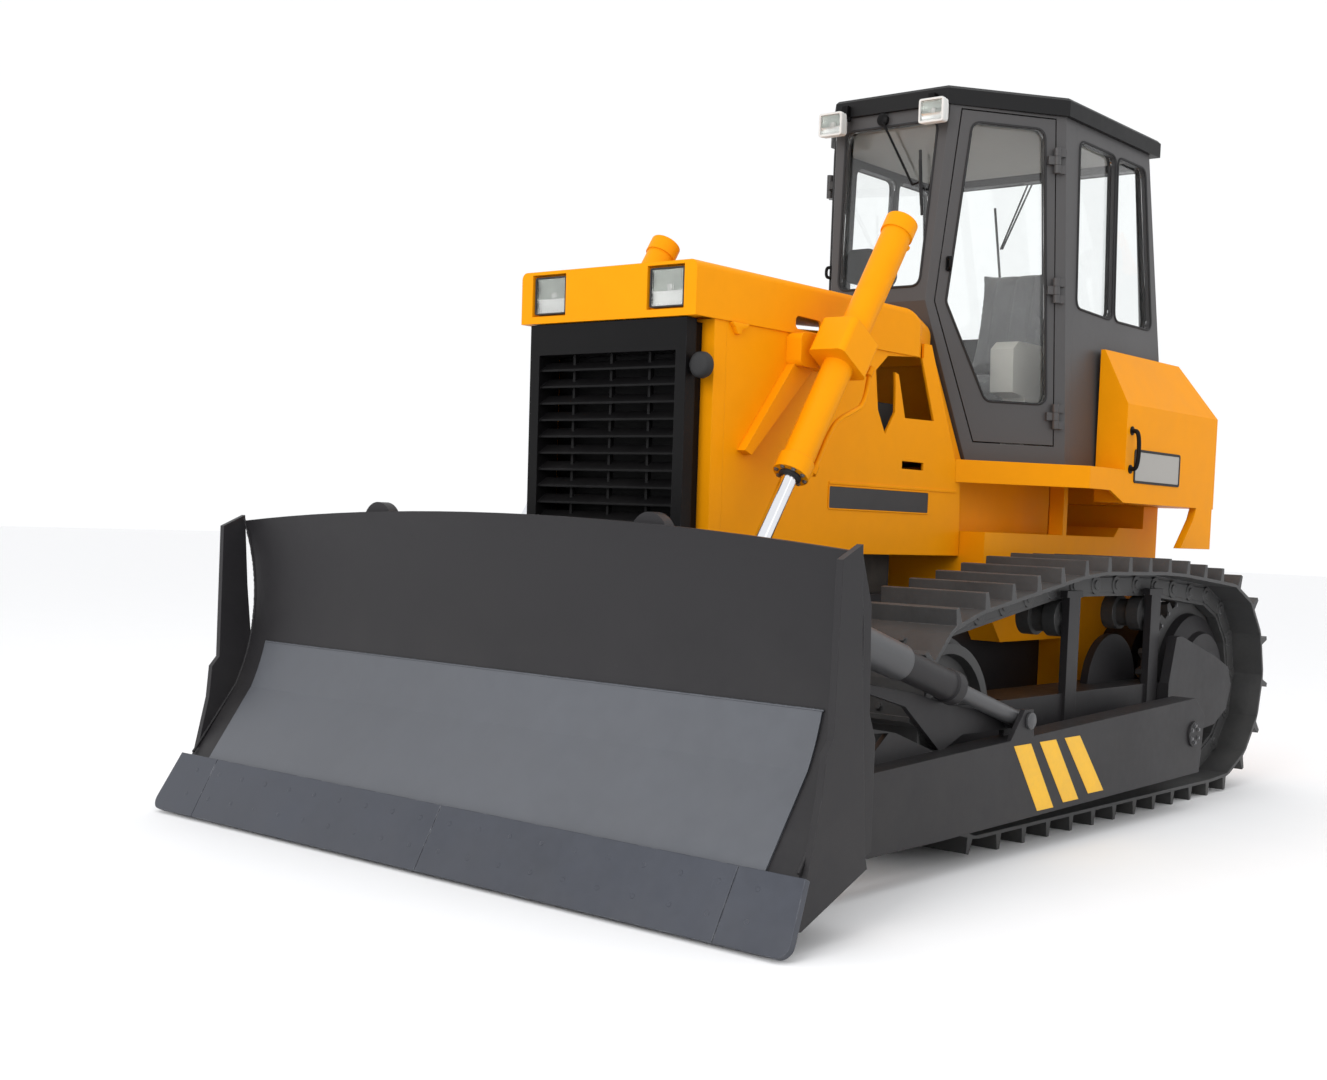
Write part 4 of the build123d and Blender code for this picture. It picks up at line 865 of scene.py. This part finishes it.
# Lamps: a rim, a folded reflector behind it and a fluted lens, facing forward
def addDish(bm, across, up, front, back, steps=8):
    middleX, middleZ = sum(across) / 2, sum(up) / 2
    halfX, halfZ = (across[1] - across[0]) / 2, (up[1] - up[0]) / 2
    grid = []
    for i in range(steps + 1):
        row = []
        for j in range(steps + 1):
            u, v = 2 * i / steps - 1, 2 * j / steps - 1
            depth = (back - front) * (1 - 0.5 * (u * u + v * v))
            row.append(bm.verts.new((middleX + u * halfX, front + depth, middleZ + v * halfZ)))
        grid.append(row)
    faces = [
        bm.faces.new((grid[i][j], grid[i + 1][j], grid[i + 1][j + 1], grid[i][j + 1]))
        for i in range(steps) for j in range(steps)
    ]
    bmesh.ops.recalc_face_normals(bm, faces=faces)
    if faces[0].normal.y > 0:
        bmesh.ops.reverse_faces(bm, faces=faces)


def addLens(bm, across, up, front, thick, flutes, sink):
    outline, steps = [], flutes * 4
    for k in range(steps + 1):
        x = across[0] + (across[1] - across[0]) * k / steps
        outline.append((x, front + sink * abs(math.cos(math.pi * k / 4))))
    outline += [(across[1], front + thick), (across[0], front + thick)]
    addPrism(bm, outline, "z", *up)


bulbProfile = ((0, 0.016), (0.004, 0.014), (0.008, 0.006))


def lampSet(name, spec, stands):
    rims, upper, lower, bulbs, lenses = (bmesh.new() for _ in range(5))
    for x in spec["places"]:
        half, (low, high), rim = spec["half"], spec["up"], spec["rim"]
        outer = roundedOutline(rectangle(x - half, x + half, low, high), spec["round"])
        inner = roundedOutline(rectangle(x - half, x + half, low, high, -rim), spec["round"] * 0.5)
        addFrame(rims, outer, inner, "y", spec["front"], spec["back"])
        across, fold = (x - half + rim, x + half - rim), low + (high - low) * spec["fold"]
        near, far = spec["front"] + spec["lensThick"] + 0.003, spec["back"] - 0.001
        addDish(upper, across, (fold, high - rim), near, far)
        addDish(lower, across, (low + rim, fold), near, far)
        addTurned(bulbs, (x, far - 0.002, (low + high) / 2), (0, -1, 0), bulbProfile, 16)
        near = spec["front"] + 0.003
        addLens(lenses, across, (low + rim, high - rim), near, spec["lensThick"], spec["flutes"], 0.002)
    putPiece(name + "Rims", rims, spec["look"], stands=stands, bevel=0.0015)
    # The upper reflector halves take the darker mirror copy: painted shade in the reflection
    putPiece(name + "ReflectorsUpper", upper, "mirrorWithPaintedShade")
    putPiece(name + "ReflectorsLower", lower, "mirror")
    putPiece(name + "Bulbs", bulbs, "lampShell")
    putPiece(name + "Lenses", lenses, "lensGlass")


# The head lamps' dark plastic rims stand in for the shadow line in the lamp recess: painted shade
headLamp = {
    "places": (0.315, -0.315), "half": 0.087, "up": (2.086, 2.234), "rim": 0.006, "round": 0.010,
    "front": -1.7015, "back": -1.6785, "lensThick": 0.005, "flutes": 14, "fold": 0.42, "look": "plastic",
}
workLamp = {
    "places": (0.290, -0.290), "half": 0.068, "up": (3.150, 3.260), "rim": 0.010, "round": 0.014,
    "front": 0.039, "back": 0.062, "lensThick": 0.005, "flutes": 10, "fold": 0.40, "look": "lampShell",
    "housing": ((0.002, 0.0625, 0.085), (0.012, 0.085, 0.104)),  # shrunk by, near and far
    "armX": 0.250, "arms": ((0.018, 0.094, 0.122, 3.235, 3.300), (0.030, 0.100, 0.116, 3.225, 3.245)),
}
lampSet("headLamp", headLamp, ("head_lamps",))
lampSet("workLamp", workLamp, ("work_lamps",))
housings, arms = bmesh.new(), bmesh.new()
for side, name in sides:
    x = side * workLamp["places"][0]
    for shrink, start, end in workLamp["housing"]:
        half = workLamp["half"] - shrink
        box = rectangle(x - half, x + half, workLamp["up"][0] + shrink, workLamp["up"][1] - shrink)
        addPrism(housings, roundedOutline(box, 0.014), "y", start, end)
    middle = side * workLamp["armX"]
    for half, near, far, low, high in workLamp["arms"]:
        addBlock(arms, (middle - half, near, low), (middle + half, far, high))
putPiece("workLampHousings", housings, "lampShell", bevel=0.004)
putPiece("workLampArms", arms, "blackPaint", bevel=0.003)
print("lamps ready")

# Grille knob and its stem, hood hooks, blank side plates, the tank's plate and grab handles
trim = {
    "knob": (0.470, -1.690, 1.870), "knobProfile": (
        (0.0, 0.030), (0.004, 0.041), (0.012, 0.048), (0.034, 0.050), (0.043, 0.046), (0.049, 0.030),
    ),
    "stem": (0.405, -1.667, 1.870), "stemProfile": ((0, 0.014), (0.05, 0.014)),
    "panelX": 0.464, "stripY": (-0.845, -0.110), "stripZ": (1.365, 1.455), "seamY": (-0.850, 0.120),
    "seamZ": (1.464, 1.476),
    "tankX": 0.900, "plateY": (1.055, 1.545), "plateZ": (1.572, 1.714),
    "handleY": 1.005, "handleZ": (1.625, 1.812), "handleFoot": ((0, 0.022), (0.004, 0.022), (0.007, 0.014)),
}
bm = bmesh.new()
addTurned(bm, trim["knob"], (0, 1, 0), trim["knobProfile"])
addTurned(bm, trim["stem"], (1, 0, 0), trim["stemProfile"], 14)
putPiece("grilleKnob", bm, "rubber")


def outward(side, x, by):
    return sorted((side * x, side * (x + by)))


def addLabel(plates, rims, side, x, across, up, rounds, thicks, grow):
    face = roundedOutline(rectangle(*across, *up), rounds[0])
    addPrism(plates, face, "x", *outward(side, x, thicks[0]))
    wide = rectangle(*across, *up, grow)
    addFrame(rims, roundedOutline(wide, rounds[1]), face, "x", *outward(side, x, thicks[1]))


hooks, strips, rims, seams = (bmesh.new() for _ in range(4))
hookOutline = (
    (-1.515, 2.049), (-1.410, 2.049), (-1.424, 2.034), (-1.452, 2.024), (-1.462, 2.004),
    (-1.478, 2.006), (-1.492, 2.030),
)
for side, name in sides:
    x, seam = trim["panelX"], rectangle(*trim["seamY"], *trim["seamZ"])
    addPrism(hooks, roundedOutline(hookOutline, 0.006, 3), "x", *outward(side, x, 0.020))
    addLabel(strips, rims, side, x, trim["stripY"], trim["stripZ"], (0.008, 0.012), (0.0025, 0.004), 0.006)
    addPrism(seams, roundedOutline(seam, 0.004), "x", *outward(side, x, 0.004))
putPiece("hoodHooks", hooks, "bodyPaint", bevel=0.003)
putPiece("sideStrips", strips, "plastic")
putPiece("sideStripRims", rims, "bodyPaint", bevel=0.001)
putPiece("sidePanelSeams", seams, "bodyPaint", bevel=0.001)

plates, plateRims, handles = (bmesh.new() for _ in range(3))
for side, name in sides:
    plate = (trim["plateY"], trim["plateZ"], (0.010, 0.018), (0.003, 0.005), 0.012)
    addLabel(plates, plateRims, side, trim["tankX"], *plate)
    x, (low, high) = side * trim["tankX"], trim["handleZ"]
    far = x + side * 0.042
    reach = ((x, low), (far, low + 0.004), (far, high - 0.004), (x, high))
    addPipe(handles, smoothPath([(a, trim["handleY"], z) for a, z in reach]), 0.011)
    for z in (low, high):
        addTurned(handles, (x, trim["handleY"], z), (side, 0, 0), trim["handleFoot"], 18)
putPiece("tankPlates", plates, "plate")
putPiece("tankPlateRims", plateRims, "rubber", bevel=0.001)
putPiece("tankHandles", handles, "blackPaint")

# Stripes on the push arms
stripes = (
    ((-0.717, 0.4525), (-0.584, 0.4525), (-0.376, 0.170), (-0.509, 0.170)),
    ((-0.514, 0.4525), (-0.381, 0.4525), (-0.164, 0.181), (-0.295, 0.181)),
    ((-0.308, 0.4525), (-0.178, 0.4525), (0.059, 0.195), (-0.079, 0.195)),
)
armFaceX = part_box("push_arms")[1][0]
bm = bmesh.new()
for side, name in sides:
    for outline in stripes:
        addPrism(bm, outline, "x", *outward(side, armFaceX, 0.0012))
putPiece("armStripes", bm, "stripePaint", "blade")
print("plates and stripes ready")

# Lift cylinders: hard pipe to the rod end, gland bolts, and gland wipers
lift = {
    "x": 0.66, "pivot": (-1.030, 1.985), "eye": (-1.900, 0.600), "glandAt": 0.598, "pipeRadius": 0.010,
    "pipe": (
        (-0.872, 1.917), (-0.904, 1.782), (-0.983, 1.747), (-1.061, 1.717), (-1.123, 1.666),
        (-1.215, 1.504), (-1.262, 1.468),
    ),
    "wiper": ((0, 0.045), (0.010, 0.045), (0.016, 0.039)),
    "nut": ((-0.02, 0.017), (0.02, 0.017)), "glandBolts": (8, 0.059, 0.008, 0.007),
}
liftWay = (Vector(lift["eye"]) - Vector(lift["pivot"])).normalized()
for side, name in sides:
    body = "lift_barrel_" + name.lower()
    bm = bmesh.new()
    route = [(side * (lift["x"] + 0.01), y, z) for y, z in lift["pipe"]]
    addPipe(bm, smoothPath(route), lift["pipeRadius"])
    for spot in (route[0], route[-2]):
        addTurned(bm, spot, (0, *liftWay), lift["nut"], 6)
    putPiece(f"rodEndPipe{name}", bm, "bodyPaint", body)
    end = Vector(lift["pivot"]) + liftWay * lift["glandAt"]
    places = [((side * lift["x"], end.x, end.y), (0, liftWay.x, liftWay.y))]
    ringBolts(f"glandBolts{name}", places, body, "yellow_paint", *lift["glandBolts"])
    bm = bmesh.new()
    addTurned(bm, (side * lift["x"], end.x, end.y), (0, *liftWay), lift["wiper"], 32)
    putPiece(f"rodWiper{name}", bm, "rubber", body)

# Braces: a dark sleeve over each barrel, so that the rod stays light
brace = {
    "front": (-2.025, 0.993), "rear": (-0.600, 0.545), "x": 1.272, "rodShown": 0.510, "radius": 0.0585,
    "sleeveFrom": 0.610, "pinOut": 0.0605, "pin": ((0, 0.034), (0.010, 0.034), (0.014, 0.028)),
}
braceWay = (Vector(brace["rear"]) - Vector(brace["front"])).normalized()
braceLong = (Vector(brace["rear"]) - Vector(brace["front"])).length
sleeve, nuts = bmesh.new(), bmesh.new()
for side, name in sides:
    start = (side * brace["x"], *brace["front"])
    way, end = (0, *braceWay), braceLong - brace["rodShown"]
    radius = brace["radius"]
    collar = radius + 0.008
    profile = (
        (brace["sleeveFrom"], radius), (end - 0.055, radius), (end - 0.05, collar), (end, collar),
        (end + 0.004, 0.036),
    )
    addTurned(sleeve, start, way, profile, 32)
    for x, out in ((brace["x"] + brace["pinOut"], side), (brace["x"] - brace["pinOut"], -side)):
        addTurned(nuts, (side * x, *brace["rear"]), (out, 0, 0), brace["pin"], 24)
putPiece("braceSleeves", sleeve, "framePaint", "blade")
putPiece("bracePins", nuts, "braceSteel", "blade")
print("cylinder fittings ready")

# Blade: welds along the end plates and the liner, and bolts along the cutting edge
blade = {
    "front": -2.570, "half": 1.615, "linerHalf": 1.490, "linerTop": 0.705,
    "edgeLean": math.radians(28), "edgeThick": 0.025, "edgeTall": 0.250, "edgeDrop": 0.006,
    "boltStep": 0.158, "boltCount": 20, "boltHeights": (0.085, 0.190), "weld": 0.006,
    "face": ((-2.235, 0.520), (-2.150, 0.850), (-2.235, 1.290)), "weldTall": 0.70,
}


def faceY(z):
    # The face above its knee is one arc through three places: behind the front, height
    (y0, z0), (y1, z1), (y2, z2) = blade["face"]
    a, b, c, d = y1 - y0, z1 - z0, y2 - y0, z2 - z0
    e, f = (a * a + b * b) / 2, (c * c + d * d) / 2
    centreY, centreZ = y0 + (e * d - b * f) / (a * d - b * c), z0 + (a * f - e * c) / (a * d - b * c)
    return centreY + math.sqrt((y0 - centreY) ** 2 + (z0 - centreZ) ** 2 - (z - centreZ) ** 2)


edgeWay = Vector((0, math.sin(blade["edgeLean"]), math.cos(blade["edgeLean"])))
edgeOut = Vector((0, -edgeWay.z, edgeWay.y))
edgeFoot = Vector((0, blade["front"] + blade["edgeThick"] * math.cos(blade["edgeLean"]), blade["edgeDrop"]))
kneeLow = edgeFoot + edgeWay * blade["edgeTall"]
welds = []
for side, name in sides:
    x = side * (blade["half"] - 0.001)
    heights = [blade["face"][0][1] + blade["weldTall"] * k / 24 for k in range(1, 25)]
    line = [(x, kneeLow.y + 0.002, kneeLow.z + 0.02), (x, *blade["face"][0])]
    welds.append(line + [(x, faceY(z), z) for z in heights])
growPiece(
    "bladeEndWelds", lineObject("welds", welds), "beads", "blade", "framePaint", "grey_paint", smooth=80,
    Step=blade["weld"] * 1.1, Radius=blade["weld"], Seed=3,
)
linerY, linerZ = faceY(blade["linerTop"]) - 0.004, blade["linerTop"] + 0.002
linerLine = [(-blade["linerHalf"] + 2 * blade["linerHalf"] * k / 60, linerY, linerZ) for k in range(61)]
growPiece(
    "linerWelds", lineObject("welds", [linerLine]), "beads", "blade", "linerSteel", "edge_steel", smooth=80,
    Step=0.0055, Radius=0.005, Seed=5,
)
bolts = []
for k in range(blade["boltCount"]):
    x = (k - (blade["boltCount"] - 1) / 2) * blade["boltStep"]
    for height in blade["boltHeights"]:
        spot = edgeFoot + edgeWay * height
        bolts.append(((x, *(spot + edgeOut * (blade["edgeThick"] - 0.0005)).yz), tuple(edgeOut)))
growPiece(
    "edgeBolts", pointsObject("bolts", bolts), "boltHeads", "blade", "edgeSteel", "edge_steel",
    Head_Size=0.010, Head_Height=0.0008,
)
print("blade details ready")

# Cab: rubber round each window, a door handle, wipers, the headliner and the floor mat
cab = {
    "from": (0.323, 0.140), "way": (0.6167, 0.7872), "out": (0.7872, -0.6167), "seal": 0.006, "round": 0.050,
    "doorWindow": ((0.117, 3.182), (0.477, 3.182), (0.548, 1.905), (0.240, 1.905), (0.025, 2.351)),
    "sideWindows": (
        ((0.735, 2.380), (1.106, 2.365), (1.106, 3.172), (0.735, 3.172)),
        ((1.126, 2.365), (1.540, 2.365), (1.425, 3.172), (1.126, 3.172)),
    ),
    "frontWindow": ((-0.236, 2.420), (0.236, 2.420), (0.266, 3.185), (-0.266, 3.185)),
    "rearWindow": ((-0.620, 2.365), (0.620, 2.365), (0.620, 3.172), (-0.620, 3.172)),
    "ceiling": ((0.270, 0.215), (0.600, 0.640), (0.600, 1.380)), "ceilingZ": (3.196, 3.236),
    "mat": ((0.290, 0.330), (0.560, 0.660), (0.600, 1.540)), "matZ": (1.6205, 1.632, 1.636),
    "ribs": 24, "ribStep": 0.019, "ribWide": 0.008,
    "handlePlate": (0.016, 0.044, 2.490, 2.560), "handlePlateThick": 0.008, "gripAlong": 0.030,
    "grip": ((2.500, 0.004), (2.502, 0.026), (2.548, 0.026), (2.550, 0.004)),  # height, out
}


def wallPoint(side, along, z, out=0.0):
    x = cab["from"][0] + cab["way"][0] * along + cab["out"][0] * out
    y = cab["from"][1] + cab["way"][1] * along + cab["out"][1] * out
    return (side * x, y, z)


def sideWallX(z):
    return 0.681 + 0.029 * (3.250 - z)


def frontWallY(z):
    return 0.079 + 0.067 * (z - 2.351) / 0.899


def rearWallY(z):
    return 1.619 - 0.152 * (z - 2.351) / 0.899


seals = {"machine": bmesh.new(), "door_left": bmesh.new(), "door_right": bmesh.new()}
for side, name in sides:
    window = roundedOutline(cab["doorWindow"], cab["round"])
    line = [wallPoint(side, a, z, 0.001) for a, z in window]
    addPipe(seals["door_" + name.lower()], line, cab["seal"], 8, True)
    for corners in cab["sideWindows"]:
        window = roundedOutline(corners, cab["round"])
        line = [(side * (sideWallX(z) + 0.001), y, z) for y, z in window]
        addPipe(seals["machine"], line, cab["seal"], 8, True)
window = roundedOutline(cab["frontWindow"], cab["round"])
addPipe(seals["machine"], [(x, frontWallY(z) - 0.001, z) for x, z in window], cab["seal"], 8, True)
window = roundedOutline(cab["rearWindow"], 0.010)
addPipe(seals["machine"], [(x, rearWallY(z) + 0.001, z) for x, z in window], cab["seal"], 8, True)
for body, bm in seals.items():
    name = "windowSeals" if body == "machine" else "doorSeal" + body[5:].capitalize()
    putPiece(name, bm, "rubber", body, angle=80)

# Each place of a wiper is across, height, and out from the wall
wiper = {
    "hub": ((0, 0.026), (0.022, 0.030), (0.030, 0.018)), "hubOut": 0.026,
    "armRadius": 0.006, "rearArmRadius": 0.005, "bladeRadius": 0.007, "bowRadius": 0.004,
    "frontHub": (-0.043, 3.217), "frontArm": ((0.165, 2.890, 0.024), (0.204, 2.900, 0.020)),
    "frontBlade": ((0.184, 3.051, 0.010), (0.224, 2.747, 0.010)),
    "frontBow": ((0.190, 3.005, 0.019), (0.204, 2.900, 0.022), (0.219, 2.790, 0.019)),
    "rearHub": (-0.020, 3.212), "rearArms": (-0.034, -0.006), "rearArmEnd": (-0.228, 2.850, 0.022),
    "rearBlade": ((-0.259, 3.067, 0.010), (-0.243, 2.600, 0.010)),
}
wipers, blades = bmesh.new(), bmesh.new()
front = lambda x, z, out=0.0: (x, frontWallY(z) - out, z)
addTurned(wipers, front(*wiper["frontHub"]), (0, -1, 0), wiper["hub"], 20)
start = front(*wiper["frontHub"], wiper["hubOut"])
addPipe(wipers, [start] + [front(*place) for place in wiper["frontArm"]], wiper["armRadius"], 8)
addPipe(blades, [front(*place) for place in wiper["frontBlade"]], wiper["bladeRadius"], 8)
addPipe(blades, [front(*place) for place in wiper["frontBow"]], wiper["bowRadius"], 6)
rear = lambda x, z, out=0.0: (x, rearWallY(z) + out, z)
addTurned(wipers, rear(*wiper["rearHub"]), (0, 1, 0), wiper["hub"], 20)
endX, endZ, endOut = wiper["rearArmEnd"]
for x in wiper["rearArms"]:
    start = rear(x, wiper["rearHub"][1], wiper["hubOut"])
    addPipe(wipers, [start, rear(endX + x * 0.4, endZ, endOut)], wiper["rearArmRadius"], 8)
addPipe(blades, [rear(*place) for place in wiper["rearBlade"]], wiper["bladeRadius"], 8)
putPiece("wiperArms", wipers, "blackPaint", angle=60)
putPiece("wiperBlades", blades, "rubber", angle=60)

for side, name in sides:
    bm = bmesh.new()
    outline, outs = roundedOutline(rectangle(*cab["handlePlate"]), 0.010), (0.0, cab["handlePlateThick"])
    addLoft(bm, *([wallPoint(side, a, z, out) for a, z in outline] for out in outs))
    grip = [wallPoint(side, cab["gripAlong"], *place) for place in cab["grip"]]
    addPipe(bm, smoothPath(grip), 0.008, 10)
    putPiece("doorHandle" + name, bm, "blackPaint", "door_" + name.lower(), angle=50)

bm = bmesh.new()
addPrism(bm, roundedOutline(mirrored(cab["ceiling"]), 0.03), "z", *cab["ceilingZ"])
putPiece("headliner", bm, "headliner", bevel=0.012)
bm = bmesh.new()
matLow, matTop, ribTop = cab["matZ"]
addPrism(bm, mirrored(cab["mat"]), "z", matLow, matTop)
for k in range(cab["ribs"]):
    y = 0.36 + cab["ribStep"] * k
    reach = 0.27 + (y - 0.33) * 0.62  # a little inside the mat's slanting edge
    addBlock(bm, (-reach, y, matTop), (reach, y + cab["ribWide"], ribTop))
putPiece("floorMat", bm, "rubber")

# Seat: a padded cushion and back, pressed out by cloth pressure and then dented by sewn channels, on bellows
seat = {
    "base": (0.190, 0.890, 1.230), "baseZ": (1.6215, 1.955), "folds": 7,
    "voxel": 0.007, "pressure": 4.0, "cap": 0.024, "fill": 0.6,
    "cushion": {"middle": (0, 1.070, 2.028), "half": (0.246, 0.226, 0.044), "tilt": 0.0},
    "back": {"middle": (0, 1.338, 2.408), "half": (0.232, 0.036, 0.280), "tilt": -0.178},
    "grooves": 3, "grooveDeep": 0.010,
}


def padMesh(name, spec, flat):
    # A crowned box whose sides pull in between the corners
    bm = bmesh.new()
    bmesh.ops.create_cube(bm, size=2.0)
    bmesh.ops.subdivide_edges(bm, edges=bm.edges[:], cuts=15, use_grid_fill=True)
    halfX, halfY, halfZ = spec["half"]
    for vert in bm.verts:
        u, v, w = vert.co
        across, along = (u, v) if flat else (u, w)
        pull = 1.0 - 0.035 * (1.0 - along * along) if abs(across) > 0.99 else 1.0
        crown = 1.0 - 0.30 * max(abs(across), abs(along)) ** 6
        vert.co.x = u * halfX * pull
        vert.co.y = v * halfY * (1.0 if flat else crown)
        vert.co.z = w * halfZ * (crown if flat else 1.0)
    bmesh.ops.rotate(bm, verts=bm.verts, matrix=Matrix.Rotation(spec["tilt"], 3, "X"))
    bmesh.ops.translate(bm, verts=bm.verts, vec=spec["middle"])
    return meshFrom(name, bm)


def useModifiers(piece):
    mesh = bakedMesh(piece)
    piece.modifiers.clear()
    piece.data = mesh


def swell(piece, rounds=20):
    piece.modifiers.new("remesh", "REMESH").mode = "VOXEL"
    piece.modifiers["remesh"].voxel_size = seat["voxel"]
    useModifiers(piece)
    before = [vert.co.copy() for vert in piece.data.vertices]
    cloth = piece.modifiers.new("cloth", "CLOTH")
    cloth.settings.use_pressure = True
    cloth.settings.uniform_pressure_force = seat["pressure"]
    cloth.settings.effector_weights.gravity = 0.0
    cloth.point_cache.frame_end = rounds
    for frameNumber in range(1, rounds + 1):
        scene.frame_set(frameNumber)
    useModifiers(piece)
    scene.frame_set(1)
    for vert, start in zip(piece.data.vertices, before):
        shift = vert.co - start
        if shift.length > seat["cap"]:
            vert.co = start + shift.normalized() * seat["cap"]


def sewChannels(piece, spec, flat):
    # Channels run along the pad on its broad face, after the remesh, as soft dents
    turn = Matrix.Rotation(-spec["tilt"], 3, "X")
    for vert in piece.data.vertices:
        local = turn @ (vert.co - Vector(spec["middle"]))
        u = local.x / spec["half"][0]
        depth = local.z / spec["half"][2] if flat else -local.y / spec["half"][1]
        if depth < 0.2:
            continue
        near = min(abs(u - (2 * k / (seat["grooves"] + 1) - 1)) for k in range(1, seat["grooves"] + 1))
        dent = seat["grooveDeep"] * math.exp(-(near / 0.05) ** 2) * min(1.0, (depth - 0.2) / 0.5)
        way = Vector((0, 0, 1)) if flat else Vector((0, -1, 0))
        vert.co -= (turn.inverted() @ way) * dent


for name, flat in (("cushion", True), ("back", False)):
    spec = seat[name]
    pad = linkObject("seat" + name.capitalize(), padMesh("seat" + name.capitalize(), spec, flat))
    swell(pad)
    sewChannels(pad, spec, flat)
    smooth = pad.modifiers.new("smooth", "SUBSURF")
    smooth.levels = smooth.render_levels = 1
    useModifiers(pad)
    shadeSmooth(pad.data, 180)
    pad.data.materials.append(looks["seatCloth"])
    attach(pad, "machine")
    if name == "cushion":
        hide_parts("seat")
print("seat pads ready")

bm = bmesh.new()
halfX, nearY, farY = seat["base"]
lowZ, highZ = seat["baseZ"]
outer = roundedOutline(rectangle(-halfX, halfX, nearY, farY), 0.03)
inner = roundedOutline(rectangle(-halfX, halfX, nearY, farY, -0.018), 0.02)
addPrism(bm, outer, "z", lowZ, lowZ + 0.05)
tall = (highZ - lowZ - 0.06) / seat["folds"]
for k in range(seat["folds"]):
    z = lowZ + 0.05 + tall * k
    addPrism(bm, outer, "z", z + tall * 0.3, z + tall * 0.75)
    addPrism(bm, inner, "z", z - 0.001, z + tall + 0.001)
putPiece("seatBellows", bm, "rubber", bevel=0.004)
print("seat ready")

# Dials on the dash pod, and the lever boots and knobs on the right console
controls = {
    "dials": ((-0.285, 2.565), (-0.232, 2.565), (-0.180, 2.565)), "dialY": 0.4105, "dialRadius": 0.021,
    "leverX": -0.365, "topZ": 2.225,  # of the console
    # Each lever is foot Y, knob Y, knob Z and knob radius
    "levers": ((0.760, 0.715, 2.420, 0.030), (0.860, 0.845, 2.370, 0.022)),
    "boot": (
        (0, 0.046), (0.006, 0.046), (0.010, 0.036), (0.016, 0.040), (0.022, 0.030), (0.028, 0.034),
        (0.036, 0.022), (0.050, 0.015),
    ),
}
bezels, faces, boots, knobs = (bmesh.new() for _ in range(4))
for x, z in controls["dials"]:
    radius = controls["dialRadius"]
    dial = ((0, radius * 0.9), (0.003, radius * 0.9))
    addTurned(faces, (x, controls["dialY"] - 0.001, z), (0, 1, 0), dial, 24)
    turns = [math.tau * k / 24 for k in range(24)]
    ring = [(x + radius * math.cos(t), controls["dialY"] + 0.002, z + radius * math.sin(t)) for t in turns]
    addPipe(bezels, ring, 0.0025, 6, True)
for footY, topY, topZ, knob in controls["levers"]:
    lean = (0, topY - footY, topZ - controls["topZ"])
    addTurned(boots, (controls["leverX"], footY, controls["topZ"] - 0.002), (0, 0, 1), controls["boot"], 24)
    addTurned(knobs, (controls["leverX"], topY, topZ), lean, (
        (-0.05, 0.013), (-0.035, 0.018), (-0.018, knob * 0.92), (0, knob), (0.016, knob * 0.9),
        (0.027, knob * 0.55), (0.031, 0.006),
    ), 24)
putPiece("dialFaces", faces, "plate")
putPiece("dialBezels", bezels, "chromeRod", angle=80)
putPiece("leverBoots", boots, "rubber")
putPiece("leverKnobs", knobs, "plastic", angle=60)
print("cab details ready")

# Bolts on the pin ends, rear case, hitch and track frames
bolt = {
    "pin": (1.342, 0.950, 0.370), "pinRing": (6, 0.040, 0.009, 0.008),
    "caseY": 1.9505, "caseX": (-0.56, -0.28, 0.28, 0.56), "caseZ": (0.49, 0.80, 1.22),
    "edgeX": 0.56, "edgeZ": (0.64, 0.95, 1.08),
    "frameX": 1.151, "frameY": (1.12, 1.26, 1.40), "frameZ": 0.340, "head": 0.015, "tall": 0.012,
}
places = [((side * bolt["pin"][0], *bolt["pin"][1:]), (side, 0, 0)) for side, _ in sides]
ringBolts("pivotPinBolts", places, "machine", "grey_paint", *bolt["pinRing"])
back = (0, 1, 0)
spots = [((x, bolt["caseY"], z), back) for x in bolt["caseX"] for z in bolt["caseZ"]]
spots += [((side * bolt["edgeX"], bolt["caseY"], z), back) for side, _ in sides for z in bolt["edgeZ"]]
for side, _ in sides:
    spots += [((side * bolt["frameX"], y, bolt["frameZ"]), (side, 0, 0)) for y in bolt["frameY"]]
growPiece(
    "caseBolts", pointsObject("bolts", spots), "boltHeads", "machine", "boltSteel", "grey_paint",
    Head_Size=bolt["head"], Head_Height=bolt["tall"],
)
print("bolts ready")


# Floor
floorMesh = bpy.data.meshes.new("floor")
reach = studio["floorReach"]
corners = [(x, y, 0) for x, y in rectangle(-reach, reach, -reach, reach)]
floorMesh.from_pydata(corners, [], [(0, 1, 2, 3)])
floor = linkObject("floor", floorMesh)
floorLook = {"colour": (0.93, 0.93, 0.935), "rough": 0.85, "mottle": 0.01, "grain": 0.02}
floorMesh.materials.append(finish("floorPaint", **floorLook))
floor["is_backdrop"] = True

low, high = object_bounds()
